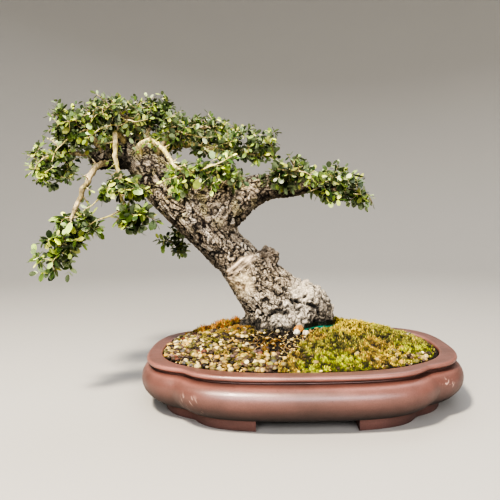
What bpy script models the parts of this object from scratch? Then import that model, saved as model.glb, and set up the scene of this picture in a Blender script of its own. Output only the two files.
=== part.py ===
"""Olive bonsai: an old leaning trunk with leafy sprays, in a four-lobed oval clay pot.

Sizes here are millimetres in the pot's own frame: X to the viewer's right, Y away
from the viewer, Z up, and zero at the pot's centre on the surface that it stands on.
An empty carries every piece, so that the whole object's box ends up centred on zero.
"""

import math
import random

import bmesh
import bpy
from mathutils import Matrix, Vector, noise
from mathutils.bvhtree import BVHTree

MM = 0.001
UP = Vector((0.0, 0.0, 1.0))

# Pieces that touch keep this much air between their meshes.
SEAT_GAP = 0.35
TRUNK_GAP = 0.55

# The pot: each ring is (half width, half depth, height), from the underside
# up the outer face, over the flat lip, and down the inside to the floor.
POT_OUTER = [
    (172.0, 130.0, 10.0),
    (183.0, 140.0, 14.0),
    (194.0, 150.0, 22.0),
    (200.5, 156.5, 33.0),
    (200.0, 156.0, 42.0),
    (196.0, 151.5, 49.0),
    (188.0, 136.5, 53.0),
    (188.0, 136.5, 55.5),
    (194.8, 142.4, 57.0),
    (193.8, 141.4, 62.6),
]
POT_INNER = [
    (176.0, 123.0, 62.6),
    (176.0, 123.0, 56.5),
    (187.0, 133.0, 44.0),
    (164.0, 112.0, 16.0),
]
# Directions of the rings' points in a quarter, in degrees, closer at the notch.
QUARTER_TURNS = (0.0, 10.0, 20.0, 26.5, 31.0, 34.5, 38.5, 43.0, 50.0, 61.0, 75.0)
OUTER_SQUARENESS = 2.68
INNER_SQUARENESS = 2.4
# The four notches between the lobes: how deep, in what direction, and how wide.
NOTCH_DEPTH = 10.0
NOTCH_DIRECTION = math.radians(36.5)
NOTCH_WIDTH = math.radians(8.0)
# The corner feet are what is left of a ring under the pot after two cross cuts.
FOOT_OUTER = (172.0, 137.0)
FOOT_WALL = 23.0
FOOT_TOP = 14.0
FOOT_GAP_HALF_WIDTH = 56.0
FOOT_GAP_HALF_DEPTH = 48.0
DRAIN_X = 72.0
DRAIN_RADIUS = 11.0
# Cutters reach this far beyond what they cut.
CUT_PAST = 5.0

# Plastic netting over the drain holes.
NET_SIDE = 34.0
NET_BAR = 3.0
NET_CELLS = 2
NET_THICKNESS = 1.0

# The soil: a dome with its top under the trunk, down to a level inside the rim.
SOIL_EDGE_Z = 59.5
SOIL_DOME = 22.5
DOME_CENTRE = Vector((-20.0, 50.0))
DOME_FLATNESS = 2.2
SOIL_INSET = 0.8
SOIL_SIDES = 34
SOIL_RINGS = 6
GRAVEL_SIZE = 7.0
GRAVEL_RELIEF = 3.0
PEBBLES = 11
PEBBLE_RADIUS = (4.2, 6.4)
PEBBLE_SHAPE = (1.25, 0.95, 0.8, 1.0)
# Bare earth round the trunk, with no moss: centre and half sizes.
BARE_CENTRE = (6.0, 34.0)
BARE_SIZE = (57.0, 60.0)

# Moss beds: centre, half width, half depth, thickness and colour.
MOSS_BEDS = {
    "moss_bed_right": ((74.0, -16.0), 96.0, 84.0, 6.0, (0.36, 0.40, 0.05)),
    "moss_bed_back_left": ((-106.0, 58.0), 32.0, 17.0, 6.0, (0.45, 0.24, 0.05)),
}

MOSS_GAP = 0.7
MOSS_EDGE = 1.4
MOSS_LUMP = 2.4
MOSS_LUMP_SIZE = 9.0
MOSS_SIDES = 18
MOSS_RINGS = 3
MOSS_RIM_SHARE = 0.95

# Stones at the trunk's foot: centre, half sizes, turn and colour.
STONES = {
    "stone_orange": ((1.0, -8.0), (6.8, 5.2, 5.4), 0.4, (0.72, 0.42, 0.16)),
    "stone_white": ((-3.0, -19.0), (5.2, 4.4, 4.0), 1.1, (0.86, 0.82, 0.72)),
    "stone_cream": ((8.5, -20.0), (4.8, 4.2, 3.6), 2.0, (0.84, 0.76, 0.62)),
}

# The green tie round the burl's foot: directions from the trunk's middle, in degrees.
STRAP_TURNS = (-64, -55, -46, -37, -28, -19, -10)
STRAP_HEIGHT = 8.0
STRAP_THICKNESS = 1.2
STRAP_SLACK = 1.2
# Distances from the trunk's middle between which the tie looks for the wood.
STRAP_REACH = (60.0, 110.0)

# The trunk and its limbs: points are (x, y, z, radius).
TRUNK = [
    (-13, 52, 46, 44),
    (-14, 50, 66, 50),
    (-18, 48, 89, 50),
    (-30, 45, 114, 45),
    (-46, 42, 134, 38.5),
    (-61, 40, 151, 34),
    (-76, 38, 169, 30),
    (-93, 36, 187, 28),
    (-108, 34, 206, 30.5),
    (-124, 32, 226, 32.5),
    (-145, 30, 247, 32),
    (-167, 27, 270, 30),
    (-186, 24, 294, 28.5),
    (-202, 22, 312, 27),
]
STUB = [
    (-193, 22, 310, 24),
    (-216, 20, 319, 23),
    (-238, 16, 317, 20),
    (-257, 12, 312, 15),
    (-268, 10, 308, 9),
]
RIGHT_LIMB = [
    (-110, 32, 226, 27),
    (-93, 30, 240, 26),
    (-75, 27, 255, 24),
    (-55, 24, 266, 20.5),
    (-32, 21, 271, 16.5),
    (-6, 18, 270, 12.5),
    (23, 16, 270, 9.3),
    (56, 14, 266, 6.8),
    (84, 12, 260, 4.6),
]
# Old wood that fills the fork between the trunk and the right limb.
SHOULDER = [(-140, 31, 250, 28), (-112, 31, 256, 25), (-82, 28, 262, 22)]
CUT_KNOB = [(-51, 38, 161, 19), (-37, 34, 178, 14.5), (-31, 32, 187, 11.5)]
BURL = [(-2, 42, 104, 32), (14, 43, 112, 28), (28, 42, 97, 25), (38, 42, 80, 17)]
ROOTS = [
    [(-38, 48, 96, 24), (-62, 44, 84, 15), (-78, 40, 70, 8)],
    [(-32, 34, 96, 22), (-46, 14, 80, 12), (-54, 2, 66, 7)],
    [(-8, 34, 94, 24), (-4, 16, 80, 14), (0, 6, 66, 8)],
    [(0, 62, 96, 24), (8, 82, 80, 13), (12, 94, 64, 7)],
    [(-42, 60, 96, 22), (-62, 76, 80, 11), (-72, 86, 64, 7)],
]
TRUNK_VOXEL = 3.4
TRUNK_FACES = 1900
TRUNK_SIDES = 18
TRUNK_STEP = 9.0
# Old bark: how wide its plates are, how deep its cracks, and how high its swellings.
BARK_PLATE = 15.0
BARK_RELIEF = 2.6
BARK_SWELL = 2.2
# The bark is smooth below the first height, in the soil, and full above the second.
BARK_STARTS = (74.0, 88.0)

# Leafy sprays: a stem of (x, y, z, radius), starting inside the wood that
# carries it, the ellipsoids of foliage that its twigs grow out to fill, and how
# many twigs it has here.
SPRAYS = {
    "spray_crown_left_front": (
        [
            (-250, 8, 314, 5), (-257, -8, 334, 4), (-274, -22, 347, 2.8), (-292, -26, 352, 1.8),
        ],
        [((-283, -24, 348), (24, 32, 25))],
        3,
    ),
    "spray_crown_left_back": (
        [
            (-240, 24, 318, 5), (-250, 46, 341, 4), (-272, 62, 354, 2.8), (-300, 70, 358, 1.8),
        ],
        [((-300, 62, 356), (32, 36, 28))],
        2,
    ),
    "spray_crown_top_front": (
        [
            (-206, 14, 322, 5), (-205, -3, 347, 4), (-217, -18, 363, 2.8), (-238, -28, 370, 1.8),
        ],
        [((-230, -22, 360), (36, 36, 22))],
        3,
    ),
    "spray_crown_top_back": (
        [
            (-210, 34, 320, 5), (-200, 50, 350, 4), (-198, 66, 368, 2.8), (-214, 78, 376, 1.8),
        ],
        [((-195, 62, 374), (42, 38, 24))],
        2,
    ),
    "spray_crown_middle_front": (
        [
            (-182, 8, 312, 5), (-161, -5, 336, 3.8), (-132, -19, 345, 2.8),
            (-104, -24, 344, 1.8),
        ],
        [((-136, -22, 342), (38, 32, 17))],
        3,
    ),
    "spray_crown_middle_back": (
        [
            (-184, 38, 312, 5), (-158, 50, 338, 3.8), (-124, 60, 348, 2.8), (-94, 66, 346, 1.8),
        ],
        [((-114, 60, 347), (42, 34, 20))],
        2,
    ),
    "spray_crown_right": (
        [
            (-184, 22, 310, 6), (-158, 20, 329, 5), (-125, 15, 325, 4.2), (-93, 11, 319, 3.6),
            (-60, 8, 314, 2.8), (-28, 6, 310, 1.8),
        ],
        [((-60, 10, 325), (42, 38, 19))],
        3,
    ),
    "spray_far_left": (
        [
            (-256, 14, 312, 5), (-280, 6, 318, 3.6), (-305, 0, 317, 2.6), (-326, -3, 308, 1.8),
        ],
        [((-316, 0, 298), (28, 34, 36))],
        2,
    ),
    "spray_hanging_left": (
        [
            (-246, 10, 306, 5.2), (-250, -10, 304, 4.6), (-256, -28, 291, 4.3),
            (-266, -40, 264, 3.9), (-278, -44, 236, 2.8), (-290, -43, 210, 1.8),
        ],
        [((-271, -42, 224), (28, 28, 18)), ((-299, -40, 188), (20, 26, 27))],
        3,
    ),
    "spray_front_left": (
        [
            (-222, 8, 330, 5), (-224, -14, 341, 4.2), (-225, -30, 335, 3.9), (-223, -38, 310, 3.6),
            (-219, -40, 283, 3.2), (-216, -44, 262, 2.5), (-209, -46, 237, 1.8),
        ],
        [((-211, -44, 268), (26, 24, 20)), ((-200, -45, 232), (24, 24, 22))],
        3,
    ),
    "spray_middle_front": (
        [
            (-201, 8, 314, 5), (-199, -14, 324, 4.2), (-183, -25, 330, 3.8),
            (-167, -28, 319, 3.5), (-155, -30, 302, 3.1), (-142, -30, 290, 2.6),
            (-118, -30, 288, 2.2), (-90, -28, 288, 1.8),
        ],
        [((-143, -30, 278), (24, 20, 24)), ((-89, -26, 284), (28, 26, 26))],
        3,
    ),
    "spray_behind_trunk": (
        [
            (-146, 40, 240, 4.4), (-158, 70, 222, 3), (-166, 84, 202, 1.8),
        ],
        [((-168, 82, 196), (22, 22, 25))],
        2,
    ),
    "spray_right_inner_front": (
        [
            (-26, 16, 272, 4.4), (-16, -2, 284, 3), (-4, -14, 288, 1.8),
        ],
        [((-11, -14, 281), (31, 26, 24))],
        2,
    ),
    "spray_right_inner_back": (
        [
            (-12, 22, 271, 4.4), (-2, 40, 281, 3), (10, 50, 284, 1.8),
        ],
        [((8, 48, 280), (33, 26, 24))],
        2,
    ),
    "spray_right_outer_front": (
        [
            (34, 14, 269, 4), (44, -4, 273, 2.8), (54, -12, 272, 1.8),
        ],
        [((44, -10, 267), (30, 26, 24))],
        2,
    ),
    "spray_right_outer_back": (
        [
            (40, 18, 269, 4), (54, 36, 274, 2.8), (68, 44, 273, 1.8),
        ],
        [((59, 40, 268), (28, 26, 24))],
        2,
    ),
    "spray_right_tip": (
        [
            (70, 13, 263, 3.6), (82, 11, 261, 2.6), (94, 9, 258, 1.8),
        ],
        [((80, 8, 257), (14, 32, 20))],
        2,
    ),
}
STEM_STEP = 24.0
SPRAY_SIDES = 4
SITE_DRAWS = 24
TWIG_RADIUS = 1.5
TWIG_STEP = 24.0
TWIG_BEND = 0.16
LEAF_PAIRS = 2
LEAF_FIRST_PAIR = 4.5
LEAF_PAIR_STEP = 11.0
LEAF_LENGTH = (11.5, 16.0)
LEAF_WIDTH_SHARE = 0.62
LEAF_THICKNESS = 0.7
# How clear a bit stays of other sprays, a leaf of the trunk, and a twig of the trunk.
CLEARANCE = 0.7
LEAF_TO_TRUNK = 1.5
TWIG_TO_TRUNK = 3.0
SEED = 7


def material(name, colour, roughness, metallic=0.0):
    made = bpy.data.materials.new(name)
    made.use_nodes = True
    shader = made.node_tree.nodes["Principled BSDF"]
    shader.inputs["Base Color"].default_value = (*colour, 1.0)
    shader.inputs["Roughness"].default_value = roughness
    shader.inputs["Metallic"].default_value = metallic
    made.diffuse_color = (*colour, 1.0)
    return made


def clear_scene():
    for obj in list(bpy.data.objects):
        bpy.data.objects.remove(obj, do_unlink=True)


def collection(name):
    made = bpy.data.collections.new(name)
    bpy.context.scene.collection.children.link(made)
    return made


def object_from(name, bm, group, finish=None):
    """A mesh object from millimetre geometry, with its faces turned outwards."""
    bmesh.ops.scale(bm, vec=(MM, MM, MM), verts=bm.verts)
    bmesh.ops.recalc_face_normals(bm, faces=bm.faces)
    mesh = bpy.data.meshes.new(name)
    bm.to_mesh(mesh)
    bm.free()
    obj = bpy.data.objects.new(name, mesh)
    group.objects.link(obj)
    if finish:
        mesh.materials.append(finish)
    return obj


def loft(bm, rings, capped=True):
    """Joins rings of points, which all have as many points, into one skin."""
    rows = [[bm.verts.new(point) for point in ring] for ring in rings]
    sides = len(rows[0])
    for lower, upper in zip(rows, rows[1:]):
        for i in range(sides):
            j = (i + 1) % sides
            bm.faces.new((lower[i], lower[j], upper[j], upper[i]))
    if capped:
        bm.faces.new(list(reversed(rows[0])))
        bm.faces.new(rows[-1])
    return rows


def apply_boolean(obj, operation, other=None, group=None):
    """Cuts or joins now, by the fast solver for closed meshes, and keeps the result."""
    modifier = obj.modifiers.new("Boolean", "BOOLEAN")
    modifier.operation = operation
    modifier.solver = "MANIFOLD"
    if group:
        modifier.operand_type = "COLLECTION"
        modifier.collection = group
    else:
        modifier.object = other
    keep_modifiers(obj)


def keep_modifiers(obj):
    """Replaces an object's mesh by what its modifiers make of it."""
    bpy.context.view_layer.update()
    graph = bpy.context.evaluated_depsgraph_get()
    made = bpy.data.meshes.new_from_object(obj.evaluated_get(graph))
    obj.modifiers.clear()
    obj.data = made


def oval_radius(angle, half_width, half_depth, squareness, notch=0.0):
    """Distance from the centre to a squarish oval, with an optional notch in each quarter."""
    across = abs(math.cos(angle)) / half_width
    along = abs(math.sin(angle)) / half_depth
    radius = (across**squareness + along**squareness) ** (-1.0 / squareness)
    folded = math.atan2(abs(math.sin(angle)), abs(math.cos(angle)))
    return radius - notch * math.exp(-(((folded - NOTCH_DIRECTION) / NOTCH_WIDTH) ** 2))


def pot_turns():
    """The quarter's directions, mirrored round all four quarters."""
    quarter = [math.radians(turn) for turn in QUARTER_TURNS]
    half = quarter + [math.pi / 2] + [math.pi - turn for turn in reversed(quarter[1:])]
    return half + [turn + math.pi for turn in half]


def oval_ring(half_width, half_depth, z, squareness, notch=0.0, turns=None):
    ring = []
    for angle in turns or pot_turns():
        radius = oval_radius(angle, half_width, half_depth, squareness, notch)
        ring.append((radius * math.cos(angle), radius * math.sin(angle), z))
    return ring


def even_turns(count):
    return [2 * math.pi * i / count for i in range(count)]


def box(bm, low, high):
    centre = [(a + b) / 2 for a, b in zip(low, high)]
    size = [b - a for a, b in zip(low, high)]
    move = Matrix.Translation(centre) @ Matrix.Diagonal((*size, 1.0))
    bmesh.ops.create_cube(bm, size=1.0, matrix=move)


def make_pot(parts, cutters):
    """The clay pot: body, flat lip, four corner feet and two drain holes."""
    clay = material("unglazed_clay", (0.30, 0.13, 0.10), 0.45)
    bm = bmesh.new()
    rings = [oval_ring(*size, OUTER_SQUARENESS, NOTCH_DEPTH) for size in POT_OUTER]
    rings += [oval_ring(*size, INNER_SQUARENESS) for size in POT_INNER]
    loft(bm, rings)
    pot = object_from("pot", bm, parts, clay)

    bm = bmesh.new()
    width, depth = FOOT_OUTER
    loft(bm, [oval_ring(width, depth, z, OUTER_SQUARENESS, NOTCH_DEPTH) for z in (0.0, FOOT_TOP)])
    feet = object_from("feet_outline", bm, cutters)
    low, high = -CUT_PAST, FOOT_TOP + CUT_PAST
    bm = bmesh.new()
    loft(bm, [oval_ring(width - FOOT_WALL, depth - FOOT_WALL, z, OUTER_SQUARENESS) for z in (low, high)])
    inside = object_from("feet_inside", bm, cutters)
    apply_boolean(feet, "DIFFERENCE", inside)
    for half_width, half_depth in (
        (FOOT_GAP_HALF_WIDTH, depth + CUT_PAST),
        (width + CUT_PAST, FOOT_GAP_HALF_DEPTH),
    ):
        bm = bmesh.new()
        box(bm, (-half_width, -half_depth, low), (half_width, half_depth, high))
        gap = object_from("feet_gap", bm, cutters)
        apply_boolean(feet, "DIFFERENCE", gap)
        bpy.data.objects.remove(gap)
    apply_boolean(pot, "UNION", feet)
    floor = POT_INNER[-1][2]
    for x in (-DRAIN_X, DRAIN_X):
        bm = bmesh.new()
        bmesh.ops.create_cone(
            bm,
            cap_ends=True,
            segments=12,
            radius1=DRAIN_RADIUS,
            radius2=DRAIN_RADIUS,
            depth=floor + 2 * CUT_PAST,
            matrix=Matrix.Translation((x, 0.0, floor / 2)),
        )
        hole = object_from("drain_hole", bm, cutters)
        apply_boolean(pot, "DIFFERENCE", hole)
        bpy.data.objects.remove(hole)
    for helper in (feet, inside):
        bpy.data.objects.remove(helper)
    return pot


def rim_fraction(x, y):
    """0 at the dome's top and 1 where the soil meets the pot's lip."""
    offset = Vector((x, y)) - DOME_CENTRE
    if offset.length < 1e-6:
        return 0.0
    direction = offset.normalized()
    width, depth, _ = POT_INNER[1]
    low, high = 0.0, 2 * width
    for _ in range(30):
        middle = (low + high) / 2
        point = DOME_CENTRE + direction * middle
        angle = math.atan2(point.y, point.x)
        if point.length < oval_radius(angle, width, depth, INNER_SQUARENESS):
            low = middle
        else:
            high = middle
    return offset.length / low


def moss_cover(x, y):
    """1 well inside a moss bed, 0 outside it, with a soft edge between."""
    cover = 0.0
    for centre, half_width, half_depth, _, _ in MOSS_BEDS.values():
        dx = x - centre[0]
        dy = y - centre[1]
        angle = math.atan2(dy / half_depth, dx / half_width)
        reach = math.hypot(dx / half_width, dy / half_depth) / moss_lobes(angle, centre)
        cover = max(cover, min(1.0, max(0.0, (1.45 - reach) / 0.3)))
    return cover


def moss_lobes(angle, centre):
    """How far a bed's uneven outline reaches in a direction, as a share of its half size."""
    seed = centre[0]
    return 0.88 + 0.09 * math.sin(3 * angle + seed) + 0.06 * math.sin(5 * angle + 2 * seed)


def smooth_ground(x, y):
    rise = 1.0 - min(1.0, rim_fraction(x, y)) ** DOME_FLATNESS
    return SOIL_EDGE_Z + SOIL_DOME * rise


def ground(x, y):
    """Height of the soil: the dome, with coarse gravel standing up where no moss lies."""
    bump = noise.noise(Vector((x, y, 0.0)) / GRAVEL_SIZE)
    bare = 1.0 - moss_cover(x, y)
    edge = min(1.0, (1.0 - min(1.0, rim_fraction(x, y))) / 0.06)
    return smooth_ground(x, y) + GRAVEL_RELIEF * bump * bare * edge


def make_soil(parts, cutters, trunk_hole):
    """The root ball's soil: fills the pot, domed, with pebbles and a hole for the trunk."""
    earth = material("gritty_soil", (0.20, 0.15, 0.10), 0.95)
    turns = even_turns(SOIL_SIDES)
    rings = []
    pot_floor = POT_INNER[-1][2]
    for wide, deep, z in reversed(POT_INNER[1:]):
        level = z + SEAT_GAP if z == pot_floor else z
        size = (wide - SOIL_INSET, deep - SOIL_INSET, level)
        rings.append(oval_ring(*size, INNER_SQUARENESS, turns=turns))
    wide, deep, _ = POT_INNER[0]
    edge = oval_ring(wide - SOIL_INSET, deep - SOIL_INSET, 0.0, INNER_SQUARENESS, turns=turns)
    for step in range(SOIL_RINGS + 1):
        share = 1.0 - step / (SOIL_RINGS + 0.5)
        ring = []
        for x, y, _ in edge:
            px = DOME_CENTRE.x + (x - DOME_CENTRE.x) * share
            py = DOME_CENTRE.y + (y - DOME_CENTRE.y) * share
            ring.append((px, py, ground(px, py)))
        rings.append(ring)
    bm = bmesh.new()
    loft(bm, rings)
    soil = object_from("soil", bm, parts, earth)
    cut_drain_recesses(soil, cutters)
    bits = bpy.data.collections.new("pebbles")
    cutters.children.link(bits)
    for place, radius, spin in pebble_places():
        bm = bmesh.new()
        bmesh.ops.create_icosphere(bm, subdivisions=1, radius=radius)
        turned = Matrix.Rotation(spin, 4, "Z") @ Matrix.Diagonal(PEBBLE_SHAPE)
        bmesh.ops.transform(bm, matrix=Matrix.Translation(place) @ turned, verts=bm.verts)
        object_from("pebble", bm, bits)
    apply_boolean(soil, "UNION", group=bits)
    for obj in list(bits.objects):
        bpy.data.objects.remove(obj)
    bpy.data.collections.remove(bits)
    apply_boolean(soil, "DIFFERENCE", trunk_hole)
    keep_largest(soil)


def pebble_places():
    """Larger pebbles on the bare gravel, mostly at the left and front left, half sunk."""
    rng = random.Random(SEED)
    places = []
    while len(places) < PEBBLES:
        x, y = rng.uniform(-165.0, 150.0), rng.uniform(-115.0, 95.0)
        radius = rng.uniform(*PEBBLE_RADIUS)
        share = rim_fraction(x, y)
        if share > 0.93 or share < 0.45 or moss_cover(x, y) > 0.0:
            continue
        if x > 0.0 and rng.random() < 0.6:
            continue
        if any(math.hypot(x - p.x, y - p.y) < radius * 2.6 for p, _, _ in places):
            continue
        place = Vector((x, y, smooth_ground(x, y) + radius * 0.15))
        places.append((place, radius, rng.uniform(0, math.pi)))
    return places


def make_moss(parts, cutters, trunk_hole):
    """Low cushions of moss that follow the soil, a hair above it."""
    bm = bmesh.new()
    centre_x, centre_y = BARE_CENTRE
    width, depth = BARE_SIZE
    rings = []
    for z in (SOIL_EDGE_Z - 30.0, SOIL_EDGE_Z + 70.0):
        ring = [(width * math.cos(t), depth * math.sin(t)) for t in even_turns(20)]
        rings.append([(centre_x + x, centre_y + y, z) for x, y in ring])
    loft(bm, rings)
    clearing = object_from("bare_earth", bm, cutters)
    for name, (centre, half_width, half_depth, thickness, colour) in MOSS_BEDS.items():
        green = material(name, colour, 0.95)
        tops, bottoms = [], []
        for step in range(MOSS_RINGS + 1):
            share = 1.0 - step / (MOSS_RINGS + 0.6)
            top, bottom = [], []
            for angle in even_turns(MOSS_SIDES):
                reach = moss_lobes(angle, centre)
                x = centre[0] + half_width * reach * math.cos(angle)
                y = centre[1] + half_depth * reach * math.sin(angle)
                over = rim_fraction(x, y) / MOSS_RIM_SHARE
                if over > 1.0:
                    x = DOME_CENTRE.x + (x - DOME_CENTRE.x) / over
                    y = DOME_CENTRE.y + (y - DOME_CENTRE.y) / over
                x = centre[0] + (x - centre[0]) * share
                y = centre[1] + (y - centre[1]) * share
                floor = smooth_ground(x, y) + MOSS_GAP
                swell = thickness * (1.0 - share**4) * 0.8
                lumps = MOSS_LUMP * noise.noise(Vector((x, y, 5.0)) / MOSS_LUMP_SIZE) * (1.0 - share**6)
                top.append((x, y, floor + MOSS_EDGE + swell + lumps))
                bottom.append((x, y, floor))
            tops.append(top)
            bottoms.append(bottom)
        bm = bmesh.new()
        loft(bm, list(reversed(bottoms)) + tops)
        bed = object_from(name, bm, parts, green)
        apply_boolean(bed, "DIFFERENCE", clearing)
        apply_boolean(bed, "DIFFERENCE", trunk_hole)
        keep_largest(bed)
    bpy.data.objects.remove(clearing)


def make_stones(parts):
    for name, (centre, sizes, turn, colour) in STONES.items():
        bm = bmesh.new()
        bmesh.ops.create_icosphere(bm, subdivisions=2, radius=1.0)
        for vert in bm.verts:
            vert.co *= 1.0 + 0.22 * noise.noise(vert.co * 1.4 + Vector(centre).to_3d())
        spin = Matrix.Rotation(turn, 4, "Z") @ Matrix.Diagonal((*sizes, 1.0))
        bmesh.ops.transform(bm, matrix=spin, verts=bm.verts)
        under = [v.co for v in bm.verts if v.co.z < 0]
        lift = max(ground(centre[0] + co.x, centre[1] + co.y) - co.z for co in under)
        place = Matrix.Translation((centre[0], centre[1], lift + SEAT_GAP))
        bmesh.ops.transform(bm, matrix=place, verts=bm.verts)
        object_from(name, bm, parts, material(name, colour, 0.7))


def cut_drain_recesses(soil, cutters):
    """Room in the soil's underside for the netting over each drain hole."""
    half = NET_SIDE / 2 + 0.6
    floor = POT_INNER[-1][2]
    for x in (-DRAIN_X, DRAIN_X):
        bm = bmesh.new()
        box(bm, (x - half, -half, floor - 4.0), (x + half, half, floor + SEAT_GAP + NET_THICKNESS + 0.5))
        recess = object_from("recess", bm, cutters)
        apply_boolean(soil, "DIFFERENCE", recess)
        bpy.data.objects.remove(recess)


def make_drain_meshes(parts):
    """A square of plastic netting over each drain hole, lying on the pot's floor."""
    net = material("black_netting", (0.02, 0.02, 0.02), 0.6)
    pitch = (NET_SIDE - NET_BAR) / NET_CELLS
    half = NET_SIDE / 2
    floor = POT_INNER[-1][2]
    for name, x in (("drain_mesh_left", -DRAIN_X), ("drain_mesh_right", DRAIN_X)):
        curve = bpy.data.curves.new(name, "CURVE")
        curve.dimensions = "2D"
        curve.fill_mode = "BOTH"
        curve.extrude = NET_THICKNESS / 2 * MM
        squares = [(-half, -half, NET_SIDE)]
        squares += [
            (-half + NET_BAR + i * pitch, -half + NET_BAR + j * pitch, pitch - NET_BAR)
            for i in range(NET_CELLS)
            for j in range(NET_CELLS)
        ]
        for left, near, length in squares:
            spline = curve.splines.new("POLY")
            spline.points.add(3)
            corners = ((0, 0), (length, 0), (length, length), (0, length))
            for point, (dx, dy) in zip(spline.points, corners):
                point.co = ((left + dx) * MM, (near + dy) * MM, 0.0, 1.0)
            spline.use_cyclic_u = True
        flat = bpy.data.objects.new(name + "_outline", curve)
        parts.objects.link(flat)
        place = Vector((x, 0.0, floor + SEAT_GAP + NET_THICKNESS / 2))
        keep_curve_as_mesh(flat, name, parts, net, place)


def keep_curve_as_mesh(flat, name, parts, finish, place):
    bpy.context.view_layer.update()
    graph = bpy.context.evaluated_depsgraph_get()
    mesh = bpy.data.meshes.new_from_object(flat.evaluated_get(graph))
    bpy.data.objects.remove(flat)
    bm = bmesh.new()
    bm.from_mesh(mesh)
    bmesh.ops.remove_doubles(bm, verts=bm.verts, dist=0.00001)
    bmesh.ops.translate(bm, vec=place * MM, verts=bm.verts)
    bmesh.ops.recalc_face_normals(bm, faces=bm.faces)
    bm.to_mesh(mesh)
    bm.free()
    obj = bpy.data.objects.new(name, mesh)
    parts.objects.link(obj)
    mesh.materials.clear()
    mesh.materials.append(finish)
    return obj


def make_strap(parts, wood, trunk_hole):
    """The flat green tie that stands round the front of the burl, on the soil."""
    green = material("green_strap", (0.01, 0.22, 0.16), 0.4)
    centre = Vector(TRUNK[1][:2])
    rings = []
    for turn in STRAP_TURNS:
        angle = math.radians(turn)
        outward = Vector((math.cos(angle), math.sin(angle)))
        inner = centre + outward * STRAP_REACH[0]
        for level in (0.0, STRAP_HEIGHT / 2, STRAP_HEIGHT):
            far = centre + outward * STRAP_REACH[1]
            start = Vector((far.x, far.y, smooth_ground(*inner) + 1.0 + level))
            hit = wood.ray_cast(start, Vector((-outward.x, -outward.y, 0.0)))[0]
            reach = (hit.xy - centre).length + STRAP_SLACK
            if level == 0.0 or reach > (inner - centre).length:
                inner = centre + outward * reach
        outer = inner + outward * STRAP_THICKNESS
        low = max(smooth_ground(*inner), smooth_ground(*outer)) + 2 * SEAT_GAP
        high = low + STRAP_HEIGHT
        rings.append([(*inner, low), (*outer, low), (*outer, high), (*inner, high)])
    bm = bmesh.new()
    loft(bm, rings)
    strap = object_from("anchor_strap", bm, parts, green)
    apply_boolean(strap, "DIFFERENCE", trunk_hole)
    keep_largest(strap)


def frames(points):
    """Place, direction and two cross directions at each point, turned as little as possible."""
    places = [Vector(p[:3]) for p in points]
    found = []
    side = None
    for i, place in enumerate(places):
        ahead = places[min(i + 1, len(places) - 1)]
        behind = places[max(i - 1, 0)]
        along = (ahead - behind).normalized()
        if side is None:
            side = along.orthogonal().normalized()
        side = (side - along * side.dot(along)).normalized()
        found.append((place, along, side, along.cross(side)))
    return found


def tube(bm, points, sides):
    """A limb or twig: rings of varying radius along a path."""
    rings = []
    for (place, _, side, other), point in zip(frames(points), points):
        turns = even_turns(sides)
        rings.append([place + point[3] * (math.cos(t) * side + math.sin(t) * other) for t in turns])
    loft(bm, rings)


def curved(points, step):
    """Points of a smooth curve through the given ones, about a step apart, radius included."""
    rows = [Vector(p) for p in points]
    out = []
    for i in range(len(rows) - 1):
        before = rows[max(i - 1, 0)]
        a, b = rows[i], rows[i + 1]
        after = rows[min(i + 2, len(rows) - 1)]
        count = max(1, round((b.xyz - a.xyz).length / step))
        for k in range(count):
            t = k / count
            out.append(
                0.5
                * (
                    2 * a
                    + (b - before) * t
                    + (2 * before - 5 * a + 4 * b - after) * t * t
                    + (3 * a - before - 3 * b + after) * t**3
                )
            )
    out.append(rows[-1])
    return out


def bark_height(point):
    """Deep cracks between plates of old bark, in millimetres."""
    warped = point + Vector((noise.noise(point / 20), noise.noise(point / 20 + UP * 9), 0)) * 6
    distances, _ = noise.voronoi(warped / BARK_PLATE)
    crack = min(1.0, (distances[1] - distances[0]) * 2.2)
    lump = noise.noise(point / 30)
    return BARK_RELIEF * (crack - 0.6) + BARK_SWELL * lump


def make_trunk(parts):
    """Root flare, leaning trunk, cut stub and right limb, grown as one piece."""
    bark = material("olive_bark", (0.30, 0.24, 0.19), 0.9)
    bm = bmesh.new()
    for limb in [TRUNK, STUB, RIGHT_LIMB, SHOULDER, CUT_KNOB, BURL, *ROOTS]:
        tube(bm, curved(limb, TRUNK_STEP), TRUNK_SIDES)
    trunk = object_from("trunk", bm, parts, bark)
    remesh = trunk.modifiers.new("Remesh", "REMESH")
    remesh.mode = "VOXEL"
    remesh.voxel_size = TRUNK_VOXEL * MM
    relax = trunk.modifiers.new("Smooth", "SMOOTH")
    relax.iterations = 4
    keep_modifiers(trunk)

    bm = bmesh.new()
    bm.from_mesh(trunk.data)
    bm.normal_update()
    moves = []
    for vert in bm.verts:
        point = vert.co / MM
        shown = min(1.0, max(0.0, (point.z - BARK_STARTS[0]) / (BARK_STARTS[1] - BARK_STARTS[0])))
        stout = min(1.0, max(0.25, (30.0 - point.x) / 60.0))
        moves.append(vert.normal * bark_height(point) * MM * shown * stout)
    for vert, move in zip(bm.verts, moves):
        vert.co += move
    bm.to_mesh(trunk.data)
    bm.free()

    trunk.data.calc_loop_triangles()
    fewer = trunk.modifiers.new("Decimate", "DECIMATE")
    fewer.ratio = TRUNK_FACES / len(trunk.data.loop_triangles)
    fewer.use_collapse_triangulate = True
    keep_modifiers(trunk)
    trunk.data.materials.clear()
    trunk.data.materials.append(bark)
    return trunk


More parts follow.
